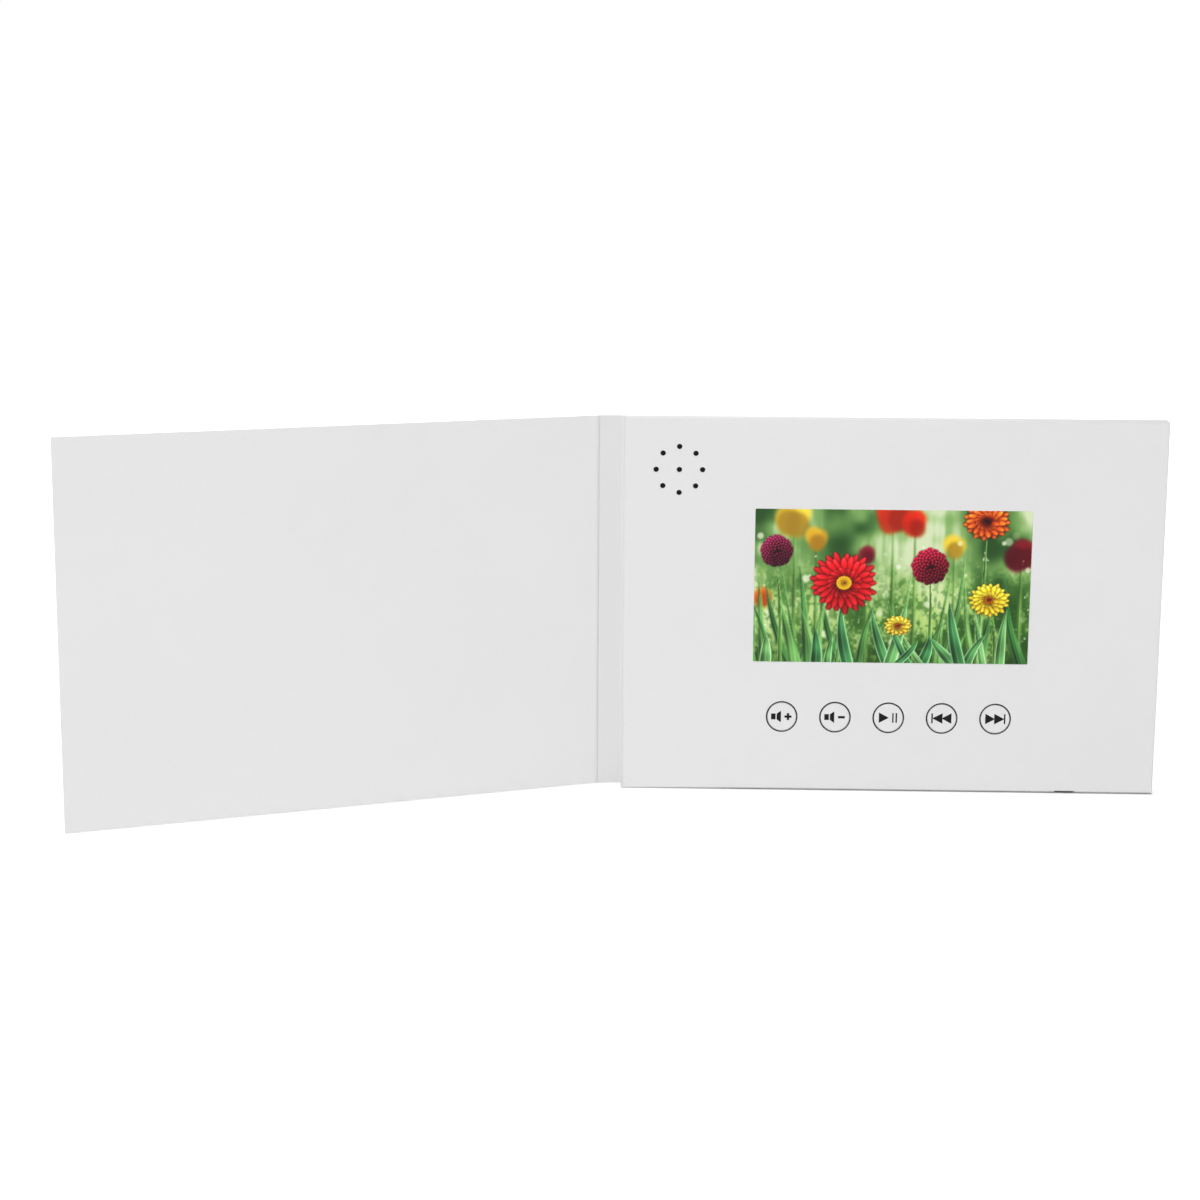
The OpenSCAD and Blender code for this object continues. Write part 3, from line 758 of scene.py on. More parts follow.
def directed(loop: Rows, anticlockwise: bool) -> Rows:
    """Makes an outline run the given way round.

    Args:
        loop: points of the outline.
        anticlockwise: the way that it has to run.

    Returns:
        The points, in this order or the other.
    """
    ahead = np.roll(loop, -1, axis=0)
    area = (loop[:, 0] * ahead[:, 1] - ahead[:, 0] * loop[:, 1]).sum()
    return loop if (area > 0) == anticlockwise else loop[::-1]


def circle(u: float, v: float, radius: float, count: int) -> Rows:
    """Points of a circle about u, v."""
    a = np.arange(count) * math.tau / count
    return np.stack([u + radius * np.cos(a), v + radius * np.sin(a)], axis=1)


def rounded(u0: float, u1: float, v0: float, v1: float, radius: float, steps: int = 4) -> Rows:
    """Rectangle with four quarter circles at its corners.

    Args:
        u0: left side.
        u1: right side.
        v0: lower side.
        v1: upper side.
        radius: of the corners.
        steps: segments of each quarter circle.

    Returns:
        Its points, anticlockwise.
    """
    corner = np.repeat(np.arange(4), steps + 1)
    a = np.tile(np.linspace(0.0, QUARTER, steps + 1), 4) + corner * QUARTER
    u = np.where((corner == 0) | (corner == 3), u1 - radius, u0 + radius)
    v = np.where(corner < 2, v1 - radius, v0 + radius)
    return np.stack([u + radius * np.cos(a), v + radius * np.sin(a)], axis=1)


def crossings(points: Rows, rings: Sequence[Rows]) -> Rows:
    """Counts the outline edges that a ray from each point to the right crosses.

    Args:
        points: rows of u, v.
        rings: closed outlines.

    Returns:
        One count for each point; it is odd inside the sheet and even in its openings.
    """
    a = np.concatenate(rings)
    b = np.concatenate([np.roll(ring, -1, axis=0) for ring in rings])
    u, v = points[:, 0][:, None], points[:, 1][:, None]
    spans = (a[:, 1] > v) != (b[:, 1] > v)
    rise = np.where(a[:, 1] == b[:, 1], 1.0, b[:, 1] - a[:, 1])
    cut = a[:, 0] + (v - a[:, 1]) / rise * (b[:, 0] - a[:, 0])
    return (spans & (u < cut)).sum(axis=1)


def flat_faces(rings: Sequence[Rows], numbers: Sequence[Rows]) -> Rows:
    """Triangles that fill the area between outlines, leaving out what lies inside the openings.

    Args:
        rings: points of each outline.
        numbers: vertex numbers of those points.

    Returns:
        Array of three vertex numbers for each triangle.
    """
    flat = np.concatenate(rings)
    count = np.array([len(ring) for ring in rings])
    ahead = np.arange(len(flat)) + 1
    ahead[np.cumsum(count) - 1] -= count
    edges = np.stack([np.arange(len(flat)), ahead], axis=1)
    found = delaunay_2d_cdt([Vector(p) for p in flat], edges.tolist(), [], FILL_MODE, FILL_MERGE)
    given = np.array([origin[0] for origin in found[3]])
    triangles = given[np.array(found[2])]
    inside = crossings(flat[triangles].mean(axis=1), rings) % 2 == 1
    return np.concatenate(numbers)[triangles[inside]]


def plate(name: str, outlines: Sequence[Rows], openings: Sequence[Rows], near: float, thickness: float,
          ease: Pair, inner_ease: Pair = (0.05, 0.03), steps: int = EASE_STEPS) -> bpy.types.Object:
    """Flat sheet of the block with openings and eased edges.

    The eased profile is carried along every outline, and triangles fill the two faces.

    Args:
        name: name of the piece.
        outlines: outer outlines as rows of u, v.
        openings: outlines of the openings.
        near: d of the face towards the reader.
        thickness: of the sheet.
        ease: radius of the outer edge at the near and the far face.
        inner_ease: the same for the openings.
        steps: segments of each quarter circle.

    Returns:
        The object.
    """
    loops = [(directed(loop, True), ease) for loop in outlines]
    loops += [(directed(loop, False), inner_ease) for loop in openings]
    points = []
    faces = []
    fronts = []
    backs = []
    first = 0
    for loop, radii in loops:
        inset, depth = eased(thickness, *radii, steps)
        moved = loop[None] + inset[:, None, None] * inward(loop)[None]
        across = np.broadcast_to(near + depth[:, None], moved.shape[:2])
        points.append(np.stack([moved[..., 0], across, moved[..., 1]], axis=-1).reshape(-1, 3))
        faces.append(grid_faces(len(inset), len(loop), first=first))
        number = first + np.arange(len(inset) * len(loop)).reshape(moved.shape[:2])
        fronts.append((moved[0], number[0]))
        backs.append((moved[-1], number[-1]))
        first += number.size
    faces += [flat_faces(*zip(*side)) for side in (fronts, backs)]
    return build_piece(name, SIZES.block_plane.put(np.concatenate(points)), faces)


def strip(name: str, outer: Rows, inner: Rows, ease: Pair, foot: float = 0.0) -> bpy.types.Object:
    """Upright sheet whose plan may be curved: a closed plan outline carried up, with eased ends.

    A ring near an end moves each face towards the other by r (1 - cos a).

    Args:
        name: name of the piece.
        outer: plan points of the outer face.
        inner: plan points of the inner face, as many, in the same order.
        ease: radius of the outer and the inner face at the two ends.
        foot: Z of its lower end.

    Returns:
        The object.
    """
    height = SIZES.block_h
    a = np.linspace(0.0, QUARTER, EASE_STEPS + 1)
    reach = max(ease)
    low = np.append(reach * (1 - np.cos(a)), LEAF_REST * reach)
    level = np.concatenate([foot + low, height * np.array(LEAF_LEVELS), height - low[::-1]])
    plain = np.zeros(len(LEAF_LEVELS) + 2)
    shrink = np.concatenate([1 - np.sin(a), plain, 1 - np.sin(a[::-1])])[:, None, None]
    across = inner - outer
    thickness = np.maximum(np.linalg.norm(across, axis=1, keepdims=True), 1e-6)
    share = across / thickness * np.minimum(1.0, EASE_SHARE * thickness / sum(ease))
    near = outer + shrink * ease[0] * share
    far = inner - shrink * ease[1] * share
    loop = np.concatenate([near, far[:, ::-1]], axis=1)
    rows, columns = loop.shape[:2]
    up = np.broadcast_to(level[:, None, None], (rows, columns, 1))
    i = np.arange(len(outer) - 1)
    cap = np.stack([i, i + 1, columns - 2 - i, columns - 1 - i], axis=1)
    faces = [grid_faces(rows, columns), cap, cap + (rows - 1) * columns]
    return build_piece(name, np.concatenate([loop, up], axis=-1).reshape(-1, 3), faces)


@dataclass
class Casing:
    """Card shell of the block: front panel, edge band and back cover."""

    window: Sides = (51.2, 158.8, 52.0, 112.9)
    window_r: float = 0.5
    hole_r: float = 1.05
    hole_points: int = 28
    hole_ring_r: float = 9.0
    hole_count: int = 8
    speaker: Pair = (21.4, 127.9)
    key_v: float = 29.9
    key_hole_r: float = 5.75
    key_points: int = 96
    keys: tuple[float, ...] = (63.0, 84.0, 105.0, 126.0, 147.0)
    notch: Triple = (171.6, 179.3, 0.76)
    mouth_t: float = 3.2
    panel_ease: Pair = (0.7, 0.02)
    opening_ease: Pair = (0.07, 0.03)
    back_ease: Pair = (0.09, 0.02)
    panel_gap: float = 0.42
    band_gap: float = 0.2
    band_ease: float = 0.06
    band_turn: float = math.radians(50.0)
    band_steps: int = 2
    rise_run: Pair = (5.0, 50.0)
    close_run: Pair = (3.0, 60.0)
    close_points: int = 20

    def openings(self) -> list[Rows]:
        """Openings of the panel.

        Returns:
            Outlines of the window, the sound holes and the key holes.
        """
        u, v = self.speaker
        ring = [(u + self.hole_ring_r * math.sin(a), v + self.hole_ring_r * math.cos(a))
                for a in np.arange(self.hole_count) * math.tau / self.hole_count]
        found = [rounded(*self.window, self.window_r)]
        found += [circle(*place, self.hole_r, self.hole_points) for place in [(u, v), *ring]]
        return found + [circle(key, self.key_v, self.key_hole_r, self.key_points) for key in self.keys]

    def block_outline(self, notch: Sequence[Pair]) -> tuple[Rows, int]:
        """Outline of the block's face, with close points where its lower edge rises.

        Args:
            notch: points that stand in the lower edge at the charging socket.

        Returns:
            The outline, anticlockwise, and the number of the notch's first point.
        """
        w, h = SIZES.block_w, SIZES.block_h
        run = [(u, 0.0) for u in np.linspace(*self.close_run, self.close_points)]
        start = [(w, h), (0.0, h), (0.0, 0.0), *run]
        return np.array([*start, *notch, (w, 0.0)]), len(start)

    def rise(self, outline: Rows, gap: float) -> Rows:
        """Lift of an outline's lower edge: gap S(u), with S a smooth step beside the left corner."""
        low = outline[:, 1] < SIZES.block_h / 4
        return np.where(low, gap * smooth(outline[:, 0], *self.rise_run), 0.0)

    def make_panel(self) -> None:
        """Front panel with soft edges, the notch at the charging socket and the risen lower edge."""
        left, right, height = self.notch
        up = height - self.panel_gap
        outline, _ = self.block_outline([(left, 0.0), (left, up), (right, up), (right, 0.0)])
        outline[:, 1] += self.rise(outline, self.panel_gap)
        piece = plate("front_panel_card", [outline], self.openings(), -SIZES.panel_t, SIZES.panel_t,
                      self.panel_ease, self.opening_ease)
        settle(piece, WHITE_CARD, Body.BLOCK, "white_paper", "front_panel")

    def make_band(self) -> None:
        """Paper band round the edges, with the mouth of the charging socket cut out of its lower run.

        Its outline and depth steps are a grid; the quad in the mouth is left out, and the second face
        lies one band thickness inside the first. The lower run rises to the front.
        """
        left, right, _ = self.notch
        outline, third = self.block_outline([(left, 0.0), (right, 0.0)])
        steps = np.array([0.0, self.mouth_t, SIZES.core_t + SIZES.board_t])
        n = len(outline)
        shape = (2, len(steps), n)
        loops = np.stack([outline, outline + SIZES.band_t * inward(outline)])[:, None]
        u = np.broadcast_to(loops[..., 0], shape)
        v = np.array(np.broadcast_to(loops[..., 1], shape))
        v[0, 0] += self.rise(outline, self.band_gap)
        points = np.stack([u, np.broadcast_to(steps[:, None], shape), v], axis=-1)
        here = np.arange(n)
        outer, inner = np.arange(2 * len(steps) * n).reshape(shape)
        sheet = np.delete(grid_faces(len(steps), n), third, axis=0)
        faces = [sheet, sheet[:, ::-1] + outer.size]
        for row, run in ((0, np.delete(here, third)), (-1, here)):
            ahead = (run + 1) % n
            a, b = outer[row], inner[row]
            faces.append(np.stack([a[run], a[ahead], b[ahead], b[run]], axis=1))
        front = ((0, third), (0, third + 1))
        back = ((1, third), (1, third + 1))
        for a, b in (*zip(front, back), back):
            faces.append(np.array([[outer[a], inner[a], inner[b], outer[b]]]))
        piece = build_piece("edge_band_paper", SIZES.block_plane.put(points.reshape(-1, 3)), faces)
        soften = piece.modifiers.new("eased edges", "BEVEL")
        soften.width = self.band_ease * MM
        soften.segments = self.band_steps
        soften.limit_method = "ANGLE"
        soften.angle_limit = self.band_turn
        settle(piece, BAND_CARD_PAINTED_SHADE, Body.BLOCK, "white_paper", "side_band")

    def make(self) -> None:
        """Makes the panel, the band and the back cover, which is eased at its free side."""
        self.make_panel()
        self.make_band()
        near = SIZES.core_t + SIZES.board_t
        piece = leaf("back_cover_sheet", SIZES.block_plane, (0.0, SIZES.block_w),
                     (near + SIZES.sheet_t, near), self.back_ease)
        settle(piece, WHITE_CARD, Body.BLOCK, "white_paper", "back_sheet")


def leaf(name: str, plane: Placement, span: Pair, faces: Pair, ease: Pair, bow: float = 0.0,
         free: bool = True, foot: float = 0.0) -> bpy.types.Object:
    """Flat or slightly bowed leaf.

    A bow adds 4 bow t (1 - t) to both faces, and a free end closes with quarter circles.

    Args:
        name: name of the piece.
        plane: plane that it is drawn on.
        span: u of the end at the crease and of the other end.
        faces: d of the outer and the inner face.
        ease: radius of the outer and the inner face at a free end.
        bow: height of the bow.
        free: whether the far end is free.
        foot: Z of its lower end.

    Returns:
        The object.
    """
    start, end = span
    reach = max(ease)
    last = end - LEAF_REST * reach if free else end
    u = start + (last - start) * np.linspace(0.0, 1.0, LEAF_STEPS + 1)
    rim = np.zeros(len(u))
    if free:
        a = np.linspace(0.0, QUARTER, EASE_STEPS + 1)
        u = np.append(u, end - reach * (1 - np.sin(a)))
        rim = np.append(rim, 1 - np.cos(a))
    share = (u - start) / (end - start)
    lift = 4 * bow * share * (1 - share)
    sign = math.copysign(1.0, faces[1] - faces[0])
    outer = faces[0] + sign * ease[0] * rim + lift
    inner = faces[1] - sign * ease[1] * rim + lift
    return strip(name, plane.ground(u, outer), plane.ground(u, inner), ease, foot)


@dataclass
class FoldedCover:
    """Folded cover beside the block: two creases, the spine and the front cover.

    The front cover hangs from the spine with its lower edge a hair above the table.
    """

    spine_bow: float = -0.22
    block_groove: float = 0.06
    cover_groove: float = 0.52
    groove_width: float = 0.17
    groove_shift: float = -0.35
    dent: float = 0.1
    ease: float = 0.17
    glued_ease: float = 0.01
    cover_foot: float = 0.3
    crease_steps: int = 32

    def make_crease(self, name: str, plane: Placement, bend: float, near: float, groove: float,
                    node: str) -> None:
        """One scored crease, which bends between its two bodies.

        A point at s along the sheet lies at pivot + R(bend S(s)) (s, d), where S is a smooth step across
        the crease. The outer face has d = dent exp(-(s / width)^2), from the creasing rule, and the inner
        face is one thickness in, less a score of groove exp(-((s - shift) / width)^2).

        Args:
            name: name of the piece.
            plane: plane of the near side, with its origin at the crease line.
            bend: angle of the far side against the near side.
            near: length of the near side.
            groove: depth of the score.
            node: node that it stands for.
        """
        half = SIZES.half_crease
        s = np.linspace(-half, half, self.crease_steps + 1)
        if near > half:
            s = np.concatenate([[-near, -(near + half) / 2], s])
        turn = bend * smooth(s, -half, half)
        fold = self.dent * np.exp(-((s / self.groove_width) ** 2))
        score = groove * np.exp(-(((s - self.groove_shift) / self.groove_width) ** 2))
        c = np.cos(turn)
        n = np.sin(turn)
        outer, inner = (plane.ground(s * c - d * n, s * n + d * c) for d in (fold, SIZES.spine_t - score))
        piece = strip(name, outer, inner, (self.ease, self.ease))
        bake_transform(piece)
        settle(piece, WHITE_CARD, None, "white_paper", node)

    def make_spine(self) -> None:
        """Outer sheet and liner of the spine, which bow a little towards the outside."""
        half = SIZES.half_crease
        for name, faces, ease, finish, node in (
                ("spine_outer_sheet", (0.0, SIZES.sheet_t), (self.ease, 0.0), WHITE_CARD, "spine_sheet"),
                ("spine_inner_liner", (SIZES.sheet_t, SIZES.spine_t), (0.0, self.ease), SPINE_CARD_PAINTED_SHADE,
                 "spine_liner")):
            piece = leaf(name, SIZES.spine_plane, (half, SIZES.spine_w - half), faces, ease, self.spine_bow,
                         False)
            settle(piece, finish, Body.SPINE, "white_paper", node)

    def make_front_cover(self) -> None:
        """Outer sheet, stiffening card and liner of the front cover."""
        card = SIZES.sheet_t + SIZES.card_t
        glued = self.glued_ease
        for name, faces, ease, finish, node in (
                ("cover_outer_sheet", (0.0, SIZES.sheet_t), (self.ease, glued), WHITE_CARD, "cover_sheet"),
                ("cover_stiffening_card", (SIZES.sheet_t, card), (glued, glued), WHITE_CORE, "cover_card"),
                ("cover_inner_liner", (card, SIZES.cover_t), (glued, self.ease), LINER_CARD_PAINTED_LIGHT, "cover_liner")):
            piece = leaf(name, SIZES.cover_plane, (SIZES.half_crease, SIZES.cover_w), faces, ease,
                         foot=self.cover_foot)
            settle(piece, finish, Body.COVER, "white_paper", node)

    def make(self) -> None:
        """Makes the creases, the spine and the front cover."""
        spine, cover = SIZES.spine_plane, SIZES.cover_plane
        self.make_crease("crease_beside_block", Placement(spine.x, spine.y, math.pi), SIZES.spine_angle,
                         SIZES.left_x - SIZES.pivot_x, self.block_groove,
                         "block_crease")
        self.make_crease("crease_beside_cover", Placement(cover.x, cover.y, spine.angle),
                         SIZES.cover_angle - SIZES.spine_angle, SIZES.half_crease, self.cover_groove,
                         "cover_crease")
        self.make_spine()
        self.make_front_cover()


@dataclass
class Keys:
    """Five key discs level with the panel, each with a printed mark and a printed ring round it."""

    casing: Casing
    disc_r: float = 5.6
    disc_ease: Pair = (0.07, 0.04)
    ring: Pair = (5.78, 6.24)
    ink_t: float = 0.03
    ink_sunk: float = 0.01
    ink_ease: Pair = (0.008, 0.0005)
    ink_steps: int = 2
    arrow_half: float = 2.12
    cross_half: float = 0.46
    cross_arm: float = 1.4
    cross_u: float = 2.5

    @staticmethod
    def slab(u0: float, u1: float, half: float, end_half: float | None = None) -> Rows:
        """Bar from u0 to u1 about the key's middle line, with another half height at u1 where given."""
        last = half if end_half is None else end_half
        return np.array([[u0, -half], [u1, -last], [u1, last], [u0, half]])

    def cut_arrow(self, base: float, tip: float, end: float) -> Rows:
        """Triangle whose tip is cut off at end, where it meets the next shape."""
        return self.slab(base, end, self.arrow_half, self.arrow_half * (end - tip) / (base - tip))

    def outlines(self, mark: Mark) -> list[Rows]:
        """Shapes of a printed mark.

        Args:
            mark: the mark.

        Returns:
            Its outlines, as rows of u and v about the middle of its key.
        """
        speaker = [self.slab(-4.18, -2.4, 1.2), self.slab(-1.98, -0.28, 1.15, 2.35)]
        if mark is Mark.VOLUME_UP:
            w, arm = self.cross_half, self.cross_arm
            quarter = np.array([[w, w], [arm, w], [arm, -w]])
            turns = [quarter @ np.linalg.matrix_power([[0, -1], [1, 0]], k) for k in range(4)]
            return speaker + [np.concatenate(turns) + [self.cross_u, 0.0]]
        if mark is Mark.VOLUME_DOWN:
            return speaker + [self.slab(1.2, 3.9, 0.48)]
        if mark is Mark.PLAY_PAUSE:
            arrow = np.array([[-3.7, -self.arrow_half], [0.25, 0.0], [-3.7, self.arrow_half]])
            return [arrow, self.slab(1.55, 2.1, 1.95), self.slab(2.87, 3.45, 1.95)]
        back = [self.slab(-4.05, -3.48, 2.0), self.cut_arrow(0.33, -3.7, -3.45),
                self.cut_arrow(3.85, -0.05, 0.36)]
        return back if mark is Mark.PREVIOUS else [loop * [-1.0, 1.0] for loop in back]

    def make_ink(self, name: str, body: Body | str, outlines: Sequence[Rows],
                 openings: Sequence[Rows]) -> None:
        """Printed ink: a thin layer that lies on the card's face."""
        piece = plate(name, outlines, openings, self.ink_sunk - SIZES.panel_t - self.ink_t, self.ink_t,
                      self.ink_ease, self.ink_ease, self.ink_steps)
        settle(piece, BLACK_INK, body)

    def make(self) -> None:
        """Makes the five discs, their marks and their rings."""
        v = self.casing.key_v
        count = self.casing.key_points
        for mark, u in zip(Mark, self.casing.keys):
            name = mark.value
            disc = plate(f"{name}_disc", [circle(u, v, self.disc_r, count)], [], -SIZES.panel_t,
                         SIZES.panel_t, self.disc_ease)
            settle(disc, WHITE_CARD, f"{name}_button", "white_paper", f"{name}_key")
            shapes = [loop + [u, v] for loop in self.outlines(mark)]
            self.make_ink(f"{name}_mark", f"{name}_button", shapes, [])
            inner, outer = (circle(u, v, radius, count) for radius in self.ring)
            self.make_ink(f"{name}_ring", Body.BLOCK, [outer], [inner])


@dataclass
class GardenPicture:
    """Picture of garden flowers for the screen, painted from formulas.

    x runs from 0 to the picture's width over its height and y from 0 at the bottom to 1. Layers are laid
    one over another: far greenery, far flowers, spots of light, stems and blades, near flowers.
    """

    columns: int
    rows: int
    aspect: float
    seed: int = 11
    golden_angle: float = 2.39996
    rng: np.random.Generator = field(init=False)
    x: Rows = field(init=False)
    y: Rows = field(init=False)
    image: Rows = field(init=False)

    def __post_init__(self) -> None:
        """Seeds the random draws and lays out the places."""
        self.rng = np.random.default_rng(self.seed)
        self.x, self.y = np.meshgrid(np.linspace(0.0, self.aspect, self.columns),
                                     np.linspace(0.0, 1.0, self.rows))
        self.image = np.full((self.rows, self.columns, 3), (0.23, 0.36, 0.2))

    def around(self, x: float, y: float, reach: float) -> tuple[slice, slice]:
        """Part of the picture about a place.

        Args:
            x: of the place.
            y: of the place.
            reach: half side of the square.

        Returns:
            Its rows and columns.
        """
        across = (self.columns - 1) / self.aspect
        up = self.rows - 1
        left, right = (int(np.clip((x + side * reach) * across, 0, self.columns)) for side in (-1, 1))
        low, high = (int(np.clip((y + side * reach) * up, 0, self.rows)) for side in (-1, 1))
        return slice(low, high + 1), slice(left, right + 1)

    def lay(self, colour: Rows | Colour, alpha: Rows, where: tuple = (slice(None), slice(None))) -> None:
        """Lays a colour over the picture, or over part of it, where alpha says."""
        part = self.image[where]
        part += (np.clip(colour, 0.0, 1.0) - part) * alpha[..., None]

    def value_noise(self, across: int, up: int) -> Rows:
        """Noise from 0 to 1: random lattice values joined by smooth steps.

        Args:
            across: number of lattice cells across.
            up: number of lattice cells up.

        Returns:
            Noise at each place.
        """
        lattice = self.rng.random((up + 2, across + 2))
        cx = self.x / self.aspect * across
        cy = self.y * up
        i = cx.astype(int)
        j = cy.astype(int)
        fx = smooth(cx - i, 0.0, 1.0)
        fy = smooth(cy - j, 0.0, 1.0)
        low, high = (lattice[row, i] * (1 - fx) + lattice[row, i + 1] * fx for row in (j, j + 1))
        return low * (1 - fy) + high * fy

    def layered(self, *parts: tuple[float, int, int]) -> Rows:
        """Sum of noises, each given by its weight and its cells across and up."""
        return sum(weight * self.value_noise(across, up) for weight, across, up in parts)

    def greenery(self) -> None:
        """Far greenery: clouds of three greens, upright streaks, and fine grass in the lower half."""
        clouds = self.layered((0.55, 6, 4), (0.3, 13, 8), (0.15, 26, 15))
        streaks = self.layered((0.6, 40, 4), (0.4, 90, 7))
        grass = self.layered((0.5, 70, 26), (0.5, 125, 60))
        self.lay((0.53, 0.66, 0.43), smooth(clouds, 0.22, 0.62))
        self.lay((0.84, 0.89, 0.74), 0.8 * smooth(clouds * (0.7 + 0.5 * streaks), 0.45, 0.72))
        low = smooth(self.y, 0.75, 0.3)
        self.lay((0.28, 0.43, 0.17), 0.55 * low * smooth(grass, 0.58, 0.32))
        self.lay((0.75, 0.85, 0.5), 0.6 * low * smooth(grass * (0.6 + clouds), 0.5, 0.9))
        self.lay((0.16, 0.27, 0.12), 0.5 * smooth(self.y, 0.3, -0.1))

    def glints(self, count: int) -> None:
        """Small round spots of light.

        Args:
            count: number of spots.
        """
        for cx, cy, size, level in self.rng.random((count, 4)):
            x = cx * self.aspect
            y = 0.08 + 0.75 * cy
            r = 0.006 + 0.02 * size**3
            where = self.around(x, y, 2 * r)
            far = np.hypot(self.x[where] - x, self.y[where] - y)
            self.lay((0.98, 0.99, 0.9), (0.14 + 0.5 * level) * smooth(far, r * 1.4, r * 0.6), where)

    def blade(self, foot: float, tip: Pair, curve: float, width: float, colour: Colour, soft: float) -> None:
        """Leaf blade or stem from the lower edge to its tip.

        Its middle line is foot + (tip - foot) t + curve t (1 - t), t = y / tip height, and its half width
        is width (1 - t^2.2). One side is in the light, and its rims and its rib are pale.

        Args:
            foot: x where it leaves the lower edge.
            tip: x and y of its tip.
            curve: sideways bow.
            width: half width at its foot.
            colour: its colour.
            soft: how blurred its edges are.
        """
        t = np.clip(self.y / tip[1], 0.0, 1.0)
        half = width * (1 - t**2.2) + 1e-4
        away = self.x - (foot + (tip[0] - foot) * t + curve * t * (1 - t))
        across = away / half
        alpha = smooth(half - np.abs(away), -soft, soft) * smooth(self.y, tip[1] + soft, tip[1] - soft)
        light = 0.74 + 0.42 * smooth(across, -0.8, 0.9) + 0.12 * np.cos(t * 9 + foot * 20)
        rim = 0.36 * smooth(np.abs(across), 0.72, 0.95) * smooth(0.02, soft, 3 * soft)
        rib = 0.12 * np.exp(-((across / 0.14) ** 2))
        self.lay(np.array(colour) * light[..., None] + (rim + rib)[..., None] * (0.95, 1.0, 0.92), alpha)

    def tuft(self, count: int, lean: float, rise: Pair, curve: float, width: Pair, colour: Colour,
             lighter: Colour, soft: float) -> None:
        """Blades at random places along the lower edge.

        Args:
            count: number of blades.
            lean: largest sideways lean of a tip.
            rise: least height, and how much more the highest has.
            curve: largest sideways bow.
            width: least half width, and how much more the widest has.
            colour: darkest colour.
            lighter: what the lightest adds to it.
            soft: how blurred their edges are.
        """
        for foot, side, height, broad, tone, bow in self.rng.random((count, 6)):
            x = foot * self.aspect * 1.1 - 0.05
            self.blade(x, (x + lean * (side - 0.5), rise[0] + rise[1] * height), curve * (bow - 0.5),
                       width[0] + width[1] * broad, np.array(colour) + tone * np.array(lighter), soft)

    def petal(self, base: Pair, turn: float, length: float, width: float, colour: Colour, tilt: float,
              soft: float, level: float, shadow: float = 0.4) -> None:
        """One petal over its own soft shadow.

        With s from 0 at its base to 1 at its tip, its half width is width sqrt(4 s (1 - s)) (0.55 + 0.6 s).
        It is darker at the base and towards its sides, with fine ribs along it.

        Args:
            base: x and y of its base.
            turn: its direction.
            length: from base to tip.
            width: half width.
            colour: its colour.
            tilt: height over width of the whole flower.
            soft: how blurred its edges are.
            level: brightness.
            shadow: depth of the shadow.
        """
        where = self.around(*base, length + 4 * soft)
        dx = self.x[where] - base[0]
        dy = (self.y[where] - base[1]) / tilt
        s = (dx * math.cos(turn) + dy * math.sin(turn)) / length
        n = dy * math.cos(turn) - dx * math.sin(turn)
        held = np.clip(s, 1e-4, 1 - 1e-4)
        half = width * np.sqrt(4 * held * (1 - held)) * (0.55 + 0.6 * held)
        inside = half - np.abs(n)
        ends = smooth(s, -0.04, 0.02) * smooth(s, 1.04, 0.98)
        tint = np.array(colour)
        self.lay(tint * 0.25, shadow * ends * smooth(inside, -5 * soft, soft), where)
        across = np.clip(n / np.maximum(half, 1e-4), -1.0, 1.0)
        tone = level * (0.5 + 0.6 * smooth(s, 0.0, 0.8)) * (1 - 0.3 * across**2) + 0.05 * np.cos(across * 11)
        bright = 0.2 * smooth(s, 0.5, 1.0) * (1 - across**2) * level
        self.lay(tint * tone[..., None] + bright[..., None], ends * smooth(inside, -soft, soft), where)

    def gerbera(self, centre: Pair, radius: float, petals: int, colour: Colour, heart: Colour, tilt: float,
                soft: float) -> None:
        """Round flower: three rows of petals, each laid on its own, and a heart of fine florets.

        Args:
            centre: x and y of its middle.
            radius: to the petals' tips.
            petals: number in each row.
            colour: of the petals.
            heart: colour of the florets.
            tilt: height over width.
            soft: how blurred its edges are.
        """
        for size, share, level in ((1.0, 0.0, 0.78), (0.84, 0.5, 0.92), (0.5, 0.25, 0.8)):
            for k in range(petals):
                a = (k + share) * math.tau / petals + 0.12 * (self.rng.random() - 0.5)
                length = radius * size * (0.93 + 0.12 * self.rng.random())
                light = level * (0.92 + 0.14 * self.rng.random() + 0.12 * math.sin(a))
                self.petal(centre, a, length, radius * 2.5 / petals, colour, tilt, soft, light)
        where = self.around(*centre, 0.3 * radius)
        dx = (self.x[where] - centre[0]) / radius
        dy = (self.y[where] - centre[1]) / radius / tilt
        r = np.hypot(dx, dy)
        a = np.arctan2(dy, dx)
        dots = 0.5 + 0.5 * np.sin(r * 95 + 2.5 * a) * np.sin(a * 13 - r * 40)
        tone = (0.55 + 0.55 * dots) * (0.7 + 0.6 * smooth(r, 0.0, 0.2))
        self.lay(np.array(heart) * tone[..., None], smooth(r, 0.24, 0.2), where)

    def pompon(self, centre: Pair, radius: float, colour: Colour, soft: float, scales: int = 110) -> None:
        """Ball of short petals, set at the golden angle from its rim to its middle and lit from above.

        Args:
            centre: x and y of its middle.
            radius: to its rim.
            colour: of the petals.
            soft: how blurred its edges are.
            scales: number of petals.
        """
        where = self.around(*centre, radius)
        far = np.hypot(self.x[where] - centre[0], self.y[where] - centre[1])
        self.lay(np.array(colour) * 0.5, smooth(far, 0.8 * radius, 0.7 * radius), where)
        for k in range(scales, 0, -1):
            a = k * self.golden_angle
            r = radius * math.sqrt(k / scales) * 0.86
            size = radius * (0.36 - 0.14 * (1 - k / scales))
            base = (centre[0] + (r - 0.4 * size) * math.cos(a), centre[1] + (r - 0.4 * size) * math.sin(a))
            level = 0.85 + (0.4 * math.sin(a) - 0.2 * math.cos(a)) * r / radius + 0.12 * self.rng.random()
            self.petal(base, a, size, size * 0.42, colour, 1.0, soft, level, 0.3)

